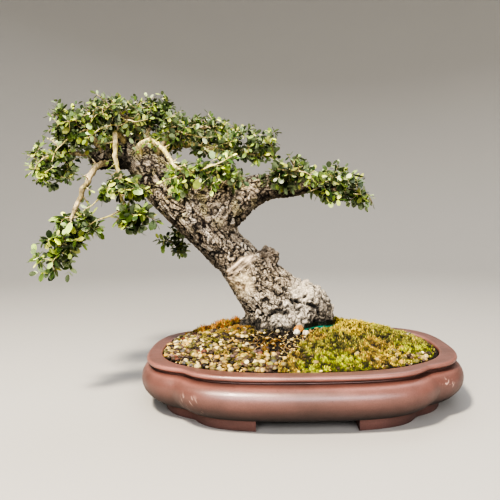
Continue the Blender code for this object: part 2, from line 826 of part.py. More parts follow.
def swollen(obj, name, group, grow):
    """A copy of a solid, grown outwards by a gap, to cut its neighbours clear of it."""
    bm = bmesh.new()
    bm.from_mesh(obj.data)
    bmesh.ops.triangulate(bm, faces=bm.faces)
    bm.normal_update()
    moves = [vert.normal * vert.calc_shell_factor() * grow * MM for vert in bm.verts]
    for vert, move in zip(bm.verts, moves):
        vert.co += move
    mesh = bpy.data.meshes.new(name)
    bm.to_mesh(mesh)
    bm.free()
    made = bpy.data.objects.new(name, mesh)
    group.objects.link(made)
    apply_boolean(made, "UNION", obj)
    return made


class Crowd:
    """The wood and leaves placed so far, so that a new bit can be kept clear of them."""

    def __init__(self, trunk):
        self.bits = []
        bm = bmesh.new()
        bm.from_mesh(trunk.data)
        bmesh.ops.scale(bm, vec=(1 / MM, 1 / MM, 1 / MM), verts=bm.verts)
        self.trunk = BVHTree.FromBMesh(bm)
        bm.free()

    def clear_of_trunk(self, points, gap):
        for point in points:
            place, normal, _, _ = self.trunk.find_nearest(point)
            if (point - place).dot(normal) < gap:
                return False
        return True

    def clear(self, bm, owner):
        """Whether this bit touches nothing of another owner."""
        tree = BVHTree.FromBMesh(bm)
        low, high = extent(bm)
        for other, other_low, other_high, other_tree in self.bits:
            if other == owner:
                continue
            if any(low[k] > other_high[k] or high[k] < other_low[k] for k in range(3)):
                continue
            if tree.overlap(other_tree):
                return False
        return True

    def add(self, bm, owner):
        low, high = extent(bm)
        self.bits.append((owner, low, high, BVHTree.FromBMesh(bm)))


def extent(bm):
    low = [min(v.co[k] for v in bm.verts) for k in range(3)]
    high = [max(v.co[k] for v in bm.verts) for k in range(3)]
    return low, high


def leaf_bmesh(base, along, normal, length, width, thick):
    """One blade: an oval outline with a pointed tip, arched a little, closed and thick."""
    side = normal.cross(along).normalized()
    normal = along.cross(side).normalized()
    half = width / 2
    outline = [
        (0.0, 0.0, 0.0),
        (0.36 * length, -half, 0.10 * half),
        (0.78 * length, -0.72 * half, 0.02 * half),
        (length, 0.0, -0.10 * length),
        (0.78 * length, 0.72 * half, 0.02 * half),
        (0.36 * length, half, 0.10 * half),
    ]
    bm = bmesh.new()
    sheets = []
    for lift in (-thick / 2, thick / 2):
        sheets.append(
            [bm.verts.new(base + along * x + side * y + normal * (z + lift)) for x, y, z in outline]
        )
    lower, upper = sheets
    count = len(outline)
    fans = ((0, 1, 5), (1, 2, 5), (2, 4, 5), (2, 3, 4))
    for a, b, c in fans:
        bm.faces.new((upper[a], upper[b], upper[c]))
        bm.faces.new((lower[c], lower[b], lower[a]))
    for i in range(count):
        j = (i + 1) % count
        bm.faces.new((lower[i], lower[j], upper[j], upper[i]))
    return bm


def draw_sites(rng, pads, count):
    """Places for twig ends, each drawn far from the earlier ones, mostly near a pad's skin."""
    sites = []
    for _ in range(count):
        best, best_gap = None, -1.0
        for _ in range(SITE_DRAWS):
            centre, size = pads[rng.randrange(len(pads))]
            aim = Vector((rng.gauss(0, 1), rng.gauss(0, 1), rng.gauss(0, 1))).normalized()
            reach = rng.uniform(0.45, 1.0) ** 0.6
            drop = 0.55 if aim.z < 0 else 1.0
            place = Vector(
                (
                    centre[0] + size[0] * aim.x * reach,
                    centre[1] + size[1] * aim.y * reach,
                    centre[2] + size[2] * aim.z * reach * drop,
                )
            )
            gap = min(((place - other).length for other in sites), default=1.0)
            if gap > best_gap:
                best, best_gap = place, gap
        sites.append(best)
    return sites


def grow_twigs(rng, stem, sites):
    """A twig from the nearest wood to each site. Returns each twig's points."""
    wood = [(point.xyz, point.w) for point in stem[2:]]
    twigs = []
    for site in sites:
        start, radius = min(wood, key=lambda bit: (bit[0] - site).length)
        span = site - start
        sway = Vector((rng.uniform(-1, 1), rng.uniform(-1, 1), rng.uniform(-0.2, 1)))
        bend = sway * span.length * TWIG_BEND
        count = max(2, round(span.length / TWIG_STEP))
        first = min(TWIG_RADIUS, radius)
        points = []
        for k in range(count + 1):
            t = k / count
            place = start + span * t + bend * math.sin(math.pi * t)
            points.append(Vector((*place, first * (1.0 - 0.25 * t))))
        twigs.append(points)
        wood += [(point.xyz, point.w) for point in points[1:]]
    return twigs


def leaf_plan(rng, twig):
    """Opposite pairs of leaves back from a twig's end, each pair crossing the last, and one at its tip.

    Each leaf leaves the twig through the middle of one of its four flats.
    """
    tip, along, side, other = frames(twig)[-1]
    plan = [(tip - along * 0.8, along, rng.uniform(*LEAF_LENGTH))]
    for pair in range(LEAF_PAIRS):
        place = point_back(twig, LEAF_FIRST_PAIR + LEAF_PAIR_STEP * pair)
        across = (side + other if pair % 2 else side - other).normalized()
        for sign in (-1, 1):
            aim = (along * rng.uniform(0.35, 0.65) + across * sign).normalized()
            plan.append((place + along * 0.55 * sign, aim, rng.uniform(*LEAF_LENGTH)))
    return plan


def point_back(twig, distance):
    """The point on a twig this far back from its tip."""
    for ahead, behind in zip(reversed(twig), list(reversed(twig))[1:]):
        span = (behind.xyz - ahead.xyz).length
        if distance <= span:
            return ahead.xyz.lerp(behind.xyz, distance / span)
        distance -= span
    return twig[0].xyz.copy()


def leaf_normal(rng, aim):
    rough = UP + Vector((rng.uniform(-1, 1), rng.uniform(-1, 1), rng.uniform(-0.3, 0.3))) * 0.8
    rough -= aim * rough.dot(aim)
    return rough.normalized()


def make_spray(name, stem_points, pads, twig_count, crowd, parts, swollen_trunk, finish):
    """One spray: its stem, twigs and leaves, fused into a single solid."""
    rng = random.Random(f"{SEED} {name}")
    stem = curved(stem_points, STEM_STEP)
    bits = bpy.data.collections.new(name + "_bits")
    bpy.context.scene.collection.children.link(bits)
    bm = bmesh.new()
    tube(bm, stem, SPRAY_SIDES)
    spray = object_from(name, bm, parts, finish)
    leaves = 0
    sites = draw_sites(rng, pads, twig_count)
    for twig in [stem] + grow_twigs(rng, stem, sites):
        plan = [(item, leaf_normal(rng, item[1])) for item in leaf_plan(rng, twig)]
        if twig is not stem and not add_twig(name, twig, crowd, bits):
            continue
        for (base, aim, length), normal in plan:
            leaves += add_leaf(name, base, aim, normal, length, crowd, bits)
    apply_boolean(spray, "UNION", group=bits)
    for obj in list(bits.objects):
        bpy.data.objects.remove(obj)
    bpy.data.collections.remove(bits)
    apply_boolean(spray, "DIFFERENCE", swollen_trunk)
    keep_largest(spray)
    return leaves


def add_twig(name, twig, crowd, bits):
    """Adds one twig if it passes clear of the other sprays and the trunk."""
    bm = bmesh.new()
    tube(bm, [Vector((*p.xyz, p.w + CLEARANCE)) for p in twig], SPRAY_SIDES)
    free = crowd.clear(bm, name) and crowd.clear_of_trunk([p.xyz for p in twig[1:]], TWIG_TO_TRUNK)
    bm.free()
    if free:
        bm = bmesh.new()
        tube(bm, twig, SPRAY_SIDES)
        crowd.add(bm, name)
        object_from("twig", bm, bits)
    return free


def add_leaf(name, base, aim, normal, length, crowd, bits):
    """Adds one leaf if it hangs clear of the other sprays, its own spray's leaves and the trunk."""
    width = length * LEAF_WIDTH_SHARE
    for turn in (0.0, 0.9, -0.9, 1.6):
        face = Matrix.Rotation(turn, 3, aim) @ normal
        wide = leaf_bmesh(base, aim, face, length, width, LEAF_THICKNESS + 2 * CLEARANCE)
        corners = [v.co.copy() for v in wide.verts]
        free = crowd.clear(wide, name) and crowd.clear_of_trunk(corners, LEAF_TO_TRUNK)
        wide.free()
        if not free:
            continue
        tried = leaf_bmesh(base + aim * 2.5, aim, face, length - 2.5, width, LEAF_THICKNESS)
        free = crowd.clear(tried, "")
        tried.free()
        if free:
            bm = leaf_bmesh(base, aim, face, length, width, LEAF_THICKNESS)
            crowd.add(bm, name)
            object_from("leaf", bm, bits)
            return 1
    return 0


def keep_largest(obj):
    """Drops the loose scraps that a cut leaves behind."""
    bm = bmesh.new()
    bm.from_mesh(obj.data)
    left = set(bm.verts)
    groups = []
    while left:
        group = {left.pop()}
        edge = list(group)
        while edge:
            vert = edge.pop()
            for link in vert.link_edges:
                other = link.other_vert(vert)
                if other in left:
                    left.remove(other)
                    group.add(other)
                    edge.append(other)
        groups.append(group)
    groups.sort(key=len, reverse=True)
    for group in groups[1:]:
        bmesh.ops.delete(bm, geom=list(group), context="VERTS")
    bm.to_mesh(obj.data)
    bm.free()


def centre_on_box(parts, empty):
    """Moves the carrying empty so that the object's box is centred on zero, standing on it."""
    bpy.context.view_layer.update()
    lows, highs = [], []
    for obj in parts.objects:
        corners = [v.co for v in obj.data.vertices]
        lows.append([min(c[k] for c in corners) for k in range(3)])
        highs.append([max(c[k] for c in corners) for k in range(3)])
    low = [min(row[k] for row in lows) for k in range(3)]
    high = [max(row[k] for row in highs) for k in range(3)]
    empty.location = (-(low[0] + high[0]) / 2, -(low[1] + high[1]) / 2, -low[2])
    for obj in parts.objects:
        obj.parent = empty


def main():
    clear_scene()
    parts = collection("olive_bonsai")
    cutters = collection("cutters")
    carrier = bpy.data.objects.new("olive_bonsai_place", None)
    bpy.context.scene.collection.objects.link(carrier)

    make_pot(parts, cutters)
    trunk = make_trunk(parts)
    hole = swollen(trunk, "trunk_with_gap", cutters, TRUNK_GAP)
    crowd = Crowd(trunk)
    make_soil(parts, cutters, hole)
    make_moss(parts, cutters, hole)
    make_stones(parts)
    make_drain_meshes(parts)
    make_strap(parts, crowd.trunk, hole)

    leafy = material("olive_leaves", (0.10, 0.17, 0.05), 0.45)
    # Every stem is known before any leaf is placed, so that leaves keep clear of all of them.
    for name, (stem, _, _) in SPRAYS.items():
        bm = bmesh.new()
        tube(bm, curved(stem, STEM_STEP), SPRAY_SIDES)
        crowd.add(bm, name)
        bm.free()
    for name, (stem, pads, twig_count) in SPRAYS.items():
        leaves = make_spray(name, stem, pads, twig_count, crowd, parts, hole, leafy)
        print(f"{name}: {leaves} leaves")
    bpy.data.objects.remove(hole)
    centre_on_box(parts, carrier)


main()
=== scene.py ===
# %% [markdown]
# # An old olive bonsai in a lobed clay pot
#
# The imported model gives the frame: every size below is in millimetres from the middle of the
# pot's foot, and `PLACE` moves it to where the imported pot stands. Each part gets a finer piece
# that keeps its form: the pot's rolled lip, cracked bark, soil with loose grit, moss tufts, and
# sprays with all their leaves.

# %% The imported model
import math
import random

import bmesh
import bpy
import numpy as np
from mathutils import Matrix, Vector, noise


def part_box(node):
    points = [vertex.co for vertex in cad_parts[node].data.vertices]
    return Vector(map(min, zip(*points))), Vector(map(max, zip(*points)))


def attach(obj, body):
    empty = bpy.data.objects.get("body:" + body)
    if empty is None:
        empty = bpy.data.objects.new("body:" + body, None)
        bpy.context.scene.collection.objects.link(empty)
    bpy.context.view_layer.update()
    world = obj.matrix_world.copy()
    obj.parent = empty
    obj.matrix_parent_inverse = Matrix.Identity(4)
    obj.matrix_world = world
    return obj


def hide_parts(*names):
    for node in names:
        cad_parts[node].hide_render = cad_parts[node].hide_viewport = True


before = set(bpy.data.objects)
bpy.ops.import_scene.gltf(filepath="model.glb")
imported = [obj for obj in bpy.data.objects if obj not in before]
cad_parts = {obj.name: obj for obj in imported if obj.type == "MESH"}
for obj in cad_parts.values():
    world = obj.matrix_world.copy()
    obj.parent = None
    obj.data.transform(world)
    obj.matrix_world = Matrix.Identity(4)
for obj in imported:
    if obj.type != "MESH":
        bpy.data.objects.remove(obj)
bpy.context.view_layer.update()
MM = 0.001
UP = Vector((0.0, 0.0, 1.0))
pot_low, pot_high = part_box("pot")
PLACE = np.array([(pot_low.x + pot_high.x) / 2, (pot_low.y + pot_high.y) / 2, 0.0])
print(f"{len(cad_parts)} nodes, pot centre at {PLACE.round(4)} m")

# %% [markdown]
# ## Finishes
#
# A finish is a network of shader nodes. It could be a painted picture, but a picture needs its
# faces unrolled first. Here patterns are computed from the place of each point, so they fit any
# shape. Colours are written as sRGB hex codes. A pattern's scale is the number of its cells in
# a metre, so 1000 divided by a real size in millimetres.


# %% Colours, nodes and the start of a finish
def colour(code):
    """A hex sRGB colour as linear light."""
    parts = [int(code[i : i + 2], 16) / 255 for i in (1, 3, 5)]
    return np.array([c / 12.92 if c <= 0.04045 else ((c + 0.055) / 1.055) ** 2.4 for c in parts])


def add(tree, kind, settings=None, inputs=None):
    """Adds a node: settings by attribute, inputs by name or number, each a value or a socket."""
    made = tree.nodes.new("ShaderNode" + kind)
    for key, value in (settings or {}).items():
        setattr(made, key, value)
    for key, value in (inputs or {}).items():
        if isinstance(value, bpy.types.NodeSocket):
            tree.links.new(value, made.inputs[key])
        else:
            made.inputs[key].default_value = value
    return made


def finish(name, **values):
    """A named material, its node tree and its shader, with plain values set on the shader."""
    made = bpy.data.materials.new(name)
    made.use_nodes = True
    shader = made.node_tree.nodes["Principled BSDF"]
    for key, value in values.items():
        shader.inputs[key.replace("_", " ")].default_value = value
    return made, made.node_tree, shader


MIX = {"data_type": "RGBA", "blend_type": "MIX"}
MULTIPLY = {"data_type": "RGBA", "blend_type": "MULTIPLY"}
print("red-brown clay in linear light:", colour("#8a5a4c").round(3))

# %% [markdown]
# ### Unglazed red-brown clay
#
# The pot is stoneware, pressed in a mould, rubbed smooth while damp and fired without a glaze.
# To the eye that is a satin skin with soft clouds of colour from the kiln, sand grains and
# pinholes. Dust and lime lie in old scratches. Three sizes of noise give these, and the scratches
# show only where the pot's own points ask for them.


# %% Clay
def make_clay():
    made, tree, shader = finish("unglazed_red_brown_clay", IOR=1.5, Specular_IOR_Level=0.95)
    where = add(tree, "TexCoord").outputs["Object"]
    own = add(tree, "Attribute", {"attribute_name": "tone"})
    # Kiln clouds, 46 mm across.
    clouds = add(tree, "TexNoise", None, {"Vector": where, "Scale": 1000 / 46, "Detail": 4.0})
    cloudy = add(tree, "MapRange", None, {0: clouds.outputs[0], 1: 0.3, 2: 0.7})
    inputs = {0: cloudy.outputs[0], 6: (*colour("#61423a"), 1.0), 7: (*colour("#7b534a"), 1.0)}
    base = add(tree, "Mix", MIX, inputs)
    # Sand of 1.2 mm: the real 0.3 mm would not show.
    sand = add(tree, "TexNoise", None, {"Vector": where, "Scale": 1000 / 1.2, "Detail": 2.0})
    sandy = add(tree, "MapRange", None, {0: sand.outputs[0], 1: 0.3, 2: 0.7, 3: 0.86, 4: 1.1})
    base = add(tree, "Mix", MULTIPLY, {0: 1.0, 6: base.outputs[2], 7: sandy.outputs[0]})
    # Pinholes, about 3 mm apart where they come.
    holes = add(tree, "TexNoise", None, {"Vector": where, "Scale": 1000 / 3.2, "Detail": 1.0})
    pinned = add(tree, "MapRange", None, {0: holes.outputs[0], 1: 0.27, 2: 0.2, 3: 0.0, 4: 0.6})
    base = add(tree, "Mix", MIX, {0: pinned.outputs[0], 6: base.outputs[2], 7: (*colour("#3f251c"), 1.0)})
    # Scratches 1 mm wide and 15 mm long, slanting in and down on both sides of the pot's middle.
    off = add(tree, "VectorMath", {"operation": "SUBTRACT"}, {0: where, 1: tuple(PLACE)})
    sides = add(tree, "VectorMath", {"operation": "ABSOLUTE"}, {0: off.outputs[0]})
    slant = {
        "Vector": sides.outputs[0], "Rotation": (0.0, math.radians(-54), 0.0), "Scale": (12.0, 1.0, 1.0),
    }
    slanted = add(tree, "Mapping", {"vector_type": "TEXTURE"}, slant)
    thin = {"Vector": slanted.outputs[0], "Scale": 1000 / 2.6, "Detail": 0.0}
    scratch = add(tree, "TexNoise", None, thin)
    scored = add(tree, "MapRange", None, {0: scratch.outputs[0], 1: 0.64, 2: 0.69, 3: 0.0, 4: 0.7})
    worn = add(tree, "Math", {"operation": "SUBTRACT"}, {0: 1.0, 1: own.outputs["Alpha"]})
    marked = add(tree, "Math", {"operation": "MULTIPLY"}, {0: scored.outputs[0], 1: worn.outputs[0]})
    base = add(tree, "Mix", MIX, {0: marked.outputs[0], 6: base.outputs[2], 7: (*colour("#c9a797"), 1.0)})
    base = add(tree, "Mix", MULTIPLY, {0: 1.0, 6: base.outputs[2], 7: own.outputs["Color"]})
    tree.links.new(base.outputs[2], shader.inputs["Base Color"])
    # Rubbed places shine a little more than the rest, and the foot is rough with dried splashes.
    rubbed_and_painted_highlight = add(tree, "TexNoise", None, {"Vector": where, "Scale": 1000 / 14, "Detail": 3.0})
    satin = add(tree, "MapRange", None, {0: rubbed_and_painted_highlight.outputs[0], 1: 0.3, 2: 0.7, 3: 0.34, 4: 0.45})
    rise = add(tree, "SeparateXYZ", None, {0: where})
    rough = add(tree, "MapRange", None, {0: rise.outputs["Z"], 1: 12 * MM, 2: 36 * MM, 3: 0.5, 4: 0.0})
    dull = add(tree, "Math", {"operation": "ADD"}, {0: satin.outputs[0], 1: rough.outputs[0]})
    tree.links.new(dull.outputs[0], shader.inputs["Roughness"])
    relief = {"Height": sand.outputs[0], "Distance": 0.25 * MM, "Strength": 0.5}
    tree.links.new(add(tree, "Bump", None, relief).outputs[0], shader.inputs["Normal"])
    return made


clay = make_clay()
print("finish:", clay.name)

# %% [markdown]
# ### Weathered olive bark
#
# Old olive bark is dead cork, split by growth into plates and curled into flakes about 5 mm
# across. It has no shine at all. The plates are carved in the mesh further down, with a colour
# on each point. The flakes are finer than the mesh, so the shader draws them: twisted noise
# crosses its middle value along thin curling lines, and those become the dark edges. Each point
# also says how flaky it is, because a scar or a bare patch is smooth.


# %% Bark
def make_bark():
    made, tree, shader = finish("weathered_olive_bark", Roughness=0.92)
    where = add(tree, "TexCoord").outputs["Object"]
    own = add(tree, "Attribute", {"attribute_name": "tone"})
    # Flakes of 5 to 8 mm with dark edges.
    curl = add(tree, "TexNoise", None, {
        "Vector": where, "Scale": 1000 / 12.0, "Detail": 2.5, "Roughness": 0.55, "Distortion": 2.2,
    })
    middle = add(tree, "Math", {"operation": "SUBTRACT"}, {0: curl.outputs[0], 1: 0.5})
    edge = add(tree, "Math", {"operation": "ABSOLUTE"}, {0: middle.outputs[0]})
    flake = add(tree, "MapRange", None, {0: edge.outputs[0], 1: 0.0, 2: 0.055, 3: 0.26, 4: 1.14})
    flaky = add(tree, "Mix", MIX, {0: own.outputs["Alpha"], 6: (1.0, 1.0, 1.0, 1.0), 7: flake.outputs[0]})
    # Crumbs of 1.8 mm on every surface.
    crumbs = add(tree, "TexNoise", None, {"Vector": where, "Scale": 1000 / 1.8, "Detail": 3.0})
    crumby = add(tree, "MapRange", None, {0: crumbs.outputs[0], 1: 0.3, 2: 0.7, 3: 0.7, 4: 1.25})
    base = add(tree, "Mix", MULTIPLY, {0: 1.0, 6: own.outputs["Color"], 7: flaky.outputs[2]})
    base = add(tree, "Mix", MULTIPLY, {0: 1.0, 6: base.outputs[2], 7: crumby.outputs[0]})
    tree.links.new(base.outputs[2], shader.inputs["Base Color"])
    stacked = {0: flaky.outputs[2], 1: 1.4, 2: crumbs.outputs[0]}
    height = add(tree, "Math", {"operation": "MULTIPLY_ADD"}, stacked)
    relief = {"Height": height.outputs[0], "Distance": 0.9 * MM, "Strength": 1.0}
    tree.links.new(add(tree, "Bump", None, relief).outputs[0], shader.inputs["Normal"])
    return made


bark = make_bark()
print("finish:", bark.name)

# %% [markdown]
# ### Young olive bark
#
# Shoots and stems a few years old have a thin skin, grey to straw yellow, with small corky dots
# and fine cracks along them. It is smooth enough for a faint shine. Noise drawn out along the
# upright gives the cracks. Each stem's points carry the broad changes of colour.


# %% Stem bark
def make_stem_bark():
    made, tree, shader = finish("young_olive_bark", Roughness=0.72)
    where = add(tree, "TexCoord").outputs["Object"]
    own = add(tree, "Attribute", {"attribute_name": "tone"})
    # Corky dots and cracks of 2.2 mm, twice as tall as wide.
    tall = add(tree, "Mapping", None, {"Vector": where, "Scale": (1.0, 1.0, 0.5)})
    corky = add(tree, "TexNoise", None, {"Vector": tall.outputs[0], "Scale": 1000 / 2.2, "Detail": 4.0})
    speck = add(tree, "MapRange", None, {0: corky.outputs[0], 1: 0.32, 2: 0.66, 3: 0.45, 4: 1.3})
    base = add(tree, "Mix", MULTIPLY, {0: 1.0, 6: own.outputs["Color"], 7: speck.outputs[0]})
    tree.links.new(base.outputs[2], shader.inputs["Base Color"])
    relief = {"Height": corky.outputs[0], "Distance": 0.7 * MM, "Strength": 0.9}
    tree.links.new(add(tree, "Bump", None, relief).outputs[0], shader.inputs["Normal"])
    return made


stem_bark = make_stem_bark()
print("finish:", stem_bark.name)

# %% [markdown]
# ### Damp gritty soil
#
# The soil is fired clay crumbs, grit and rotted bark, kept damp: dark and dull, each crumb with
# its own shadow. The mesh gives the broad colour, dark where the earth is wet. Noise as coarse as
# the crumbs gives the rest, in colour and in relief. Five of the finishes here work like that and
# differ only in their numbers, so one function makes them.


# %% A grained finish, and the soil
def make_grained(name, size, shades, depth, strength, detail=3.0, **values):
    """The mesh's own colours, broken up in shade and relief by noise. Size and depth are in mm."""
    made, tree, shader = finish(name, **values)
    where = add(tree, "TexCoord").outputs["Object"]
    own = add(tree, "Attribute", {"attribute_name": "tone"})
    grains = add(tree, "TexNoise", None, {"Vector": where, "Scale": 1000 / size, "Detail": detail})
    low, high = shades
    shaded = add(tree, "MapRange", None, {0: grains.outputs[0], 1: 0.3, 2: 0.7, 3: low, 4: high})
    base = add(tree, "Mix", MULTIPLY, {0: 1.0, 6: own.outputs["Color"], 7: shaded.outputs[0]})
    tree.links.new(base.outputs[2], shader.inputs["Base Color"])
    relief = {"Height": grains.outputs[0], "Distance": depth * MM, "Strength": strength}
    tree.links.new(add(tree, "Bump", None, relief).outputs[0], shader.inputs["Normal"])
    return made


# Crumbs of 2 mm.
earth = make_grained(
    "damp_gritty_soil", size=2.0, shades=(0.35, 1.5), depth=1.4, strength=1.0, detail=4.0, Roughness=0.95
)
print("finish:", earth.name)

# %% [markdown]
# ### Tumbled river grit
#
# The grit is quartz, flint and limestone, rolled round by a river. A tumbled stone has a dull
# skin with a trace of shine, and mineral flecks that break up its colour. Each grain has one
# colour from the mesh, and noise of the flecks' size varies it.

# %% River grit
# Mineral flecks of 1.5 mm, coarser than the real 0.5 mm so that they show.
grit = make_grained(
    "tumbled_river_grit", size=1.5, shades=(0.7, 1.3), depth=0.3, strength=0.8, Roughness=0.62
)
print("finish:", grit.name)

# %% [markdown]
# ### Worn sandstone
#
# Sandstone is sand pressed into beds. Rain wears its corners off and leaves a rough, dull skin
# where the grains stand out. One noise gives the grains. A wave texture, bent by noise, gives the
# beds, which a plain noise could not, because they all run one way.


# %% Sandstone
def make_sandstone():
    made, tree, shader = finish("worn_sandstone", Roughness=0.78)
    where = add(tree, "TexCoord").outputs["Object"]
    own = add(tree, "Attribute", {"attribute_name": "tone"})
    # Sand grains of 1 mm, on beds 4 mm thick.
    grains = add(tree, "TexNoise", None, {"Vector": where, "Scale": 1000 / 1.0, "Detail": 3.0})
    bent = {"Vector": where, "Scale": 1000 / 12.0, "Distortion": 5.0, "Detail": 2.0}
    beds = add(tree, "TexWave", None, bent)
    grainy = add(tree, "MapRange", None, {0: grains.outputs[0], 1: 0.3, 2: 0.7, 3: 0.75, 4: 1.2})
    bedded = add(tree, "MapRange", None, {0: beds.outputs[1], 3: 0.8, 4: 1.08})
    base = add(tree, "Mix", MULTIPLY, {0: 1.0, 6: own.outputs["Color"], 7: grainy.outputs[0]})
    base = add(tree, "Mix", MULTIPLY, {0: 1.0, 6: base.outputs[2], 7: bedded.outputs[0]})
    tree.links.new(base.outputs[2], shader.inputs["Base Color"])
    relief = {"Height": grains.outputs[0], "Distance": 0.4 * MM, "Strength": 0.8}
    tree.links.new(add(tree, "Bump", None, relief).outputs[0], shader.inputs["Normal"])
    return made


stone = make_sandstone()
print("finish:", stone.name)

# %% [markdown]
# ### Cushion moss
#
# Moss is thousands of shoots a few millimetres tall, each with tiny translucent leaves. It looks soft
# because light goes into the cushion and is lost between the shoots. The shoots are real small spikes in
# the mesh here, dark with painted shade at the foot and bright at the tip. The shader adds only the fuzz
# that is finer than they are.

# %% Moss
# Leaf tips of 1.4 mm.
moss = make_grained("cushion_moss", size=1.4, shades=(0.5, 1.45), depth=0.8, strength=1.0, Roughness=0.9)
print("finish:", moss.name)

# %% [markdown]
# ### Olive leaves
#
# An olive leaf is leathery. Its upper face has a thick waxy skin, dark green with a soft gloss.
# Its underside is covered with flat scales, like grey-green felt, and reflects nothing sharply.
# That needs two finishes, one for each face of every leaf.

# %% Leaf faces
# Waxy ripples of 3 mm above, felt of 1 mm below.
leaf_top = make_grained(
    "waxy_leaf_upper_face", size=3.0, shades=(0.8, 1.2), depth=0.15, strength=0.7, Roughness=0.38, IOR=1.45
)
leaf_under = make_grained(
    "felted_leaf_underside", size=1.0, shades=(0.85, 1.1), depth=0.1, strength=0.7, Roughness=0.75, IOR=1.45
)
print("finishes:", leaf_top.name, leaf_under.name)

# %% [markdown]
# ### Green plastics
#
# The tie is soft PVC strip, extruded, with a low shine. The nets under the soil are moulded
# polythene, which is waxier. Both collect dust, which kills the shine in patches. One function
# makes both, because only the colour and the roughness differ.


# %% Plastics
def make_plastic(name, roughness, code=None):
    """Moulded plastic with dust in its dull places, in one colour or in the piece's own."""
    made, tree, shader = finish(name, Roughness=roughness, IOR=1.52)
    where = add(tree, "TexCoord").outputs["Object"]
    if code:
        own = (*colour(code), 1.0)
    else:
        own = add(tree, "Attribute", {"attribute_name": "tone"}).outputs["Color"]
    # Dust and scuffs of 2 mm.
    dust = add(tree, "TexNoise", None, {"Vector": where, "Scale": 1000 / 2.0, "Detail": 4.0})
    dusty = add(tree, "MapRange", None, {0: dust.outputs[0], 1: 0.5, 2: 0.75, 3: 0.0, 4: 0.35})
    base = add(tree, "Mix", MIX, {0: dusty.outputs[0], 6: own, 7: (*colour("#7d7462"), 1.0)})
    tree.links.new(base.outputs[2], shader.inputs["Base Color"])
    relief = {"Height": dust.outputs[0], "Distance": 0.15 * MM, "Strength": 0.6}
    tree.links.new(add(tree, "Bump", None, relief).outputs[0], shader.inputs["Normal"])
    return made


strap_plastic = make_plastic("green_pvc_strap", roughness=0.38)
net_plastic = make_plastic("green_polythene_net", roughness=0.5, code="#2c5a33")
print("finishes:", strap_plastic.name, net_plastic.name)

# %% [markdown]
# ## Building pieces
#
# Blender can join thousands of small objects, but that is slow. A `Heap` gathers the triangles
# and colours of a whole piece in lists and makes one mesh at the end. The piece then rides on
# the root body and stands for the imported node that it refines.


# %% Gathering triangles into one piece
class Heap:
    """The triangles and colours of one piece, until its mesh is made."""

    def __init__(self):
        self.points = []
        self.faces = []
        self.tones = []
        self.slots = []
        self.count = 0

    def add(self, points, faces, tone, slot=0):
        """Points in mm, faces of three or four corners, and a colour, with a mask if it has four."""
        points = np.asarray(points, float)
        faces = np.asarray(faces, int)
        if faces.shape[1] == 4:
            faces = np.concatenate([faces[:, [0, 1, 2]], faces[:, [0, 2, 3]]])
        self.points.append(points)
        tone = np.atleast_2d(np.asarray(tone, float))
        if tone.shape[1] == 3:
            tone = np.hstack([tone, np.ones((len(tone), 1))])
        self.tones.append(np.broadcast_to(tone, (len(points), 4)))
        self.faces.append(faces + self.count)
        self.slots.append(np.full(len(faces), slot))
        self.count += len(points)

    def lighten(self, factor):
        """Every colour so far times a factor. The mask stays."""
        lifted = [tones * (factor, factor, factor, 1.0) for tones in self.tones]
        self.tones = [np.minimum(tones, (0.9, 0.9, 0.9, 1.0)) for tones in lifted]

    def build(self, name, finishes, replaced=(), slot=None, smooth=True):
        points = np.concatenate(self.points) * MM + PLACE
        faces = np.concatenate(self.faces)
        mesh = bpy.data.meshes.new(name)
        mesh.vertices.add(len(points))
        mesh.loops.add(faces.size)
        mesh.polygons.add(len(faces))
        mesh.vertices.foreach_set("co", points.ravel())
        mesh.loops.foreach_set("vertex_index", faces.ravel().astype(np.int32))
        mesh.polygons.foreach_set("loop_start", np.arange(0, faces.size, 3, dtype=np.int32))
        mesh.polygons.foreach_set("material_index", np.concatenate(self.slots).astype(np.int32))
        mesh.update(calc_edges=True)
        mesh.validate()
        mesh.polygons.foreach_set("use_smooth", np.full(len(mesh.polygons), smooth))
        paint(mesh, np.concatenate(self.tones))
        for made in finishes:
            mesh.materials.append(made)
        piece = put(name, mesh)
        settle(piece, replaced)
        return piece


def taken(bm):
    """The points and faces of a bmesh, which is let go."""
    points = np.array([vert.co for vert in bm.verts])
    faces = np.array([[vert.index for vert in face.verts] for face in bm.faces])
    bm.free()
    return points, faces


def paint(mesh, tones):
    """Writes a colour and a mask on each point, for the finishes to read."""
    mesh.color_attributes.new("tone", "FLOAT_COLOR", "POINT").data.foreach_set("color", tones.ravel())


def put(name, data):
    """A new object in the scene."""
    made = bpy.data.objects.new(name, data)
    bpy.context.scene.collection.objects.link(made)
    return made


def settle(piece, replaced):
    """The piece rides on the one body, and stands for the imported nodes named."""
    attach(piece, "root")
    if replaced:
        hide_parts(*replaced)
    print(f"{piece.name}: {len(piece.data.polygons)} faces")


# %% [markdown]
# Four helpers do most of the shaping: a net of faces between rows of points, smooth noise in
# millimetres, an S-shaped step from 0 to 1, which hides where one thing turns into another, and
# a blend of two colours or heights.


# %% Faces between rows, noise, eased steps and blends
def grid_faces(rows, columns, closed=True):
    """Quads between rows of points, joined round each row where closed."""
    faces = []
    span = columns if closed else columns - 1
    for i in range(rows - 1):
        for j in range(span):
            k = (j + 1) % columns
            faces.append((i * columns + j, i * columns + k, (i + 1) * columns + k, (i + 1) * columns + j))
    return faces


def varied(points, size, seed=0.0):
    """Smooth noise from -1 to 1 at each point, with lumps of this size in millimetres."""
    shift = Vector((seed * 17.3, seed * 5.1, seed * 11.7))
    return np.array([noise.noise(Vector(p) / size + shift) for p in points])


def eased(value, low, high):
    """0 below low, 1 above high, and an S-shaped step between."""
    share = np.clip((np.asarray(value, float) - low) / (high - low), 0.0, 1.0)
    return share * share * (3.0 - 2.0 * share)


def blend(first, second, share):
    """All of the first at 0, all of the second at 1."""
    return first * (1 - share) + second * share


print("an eased step at 0.2:", round(float(eased(0.2, 0.0, 1.0)), 3))

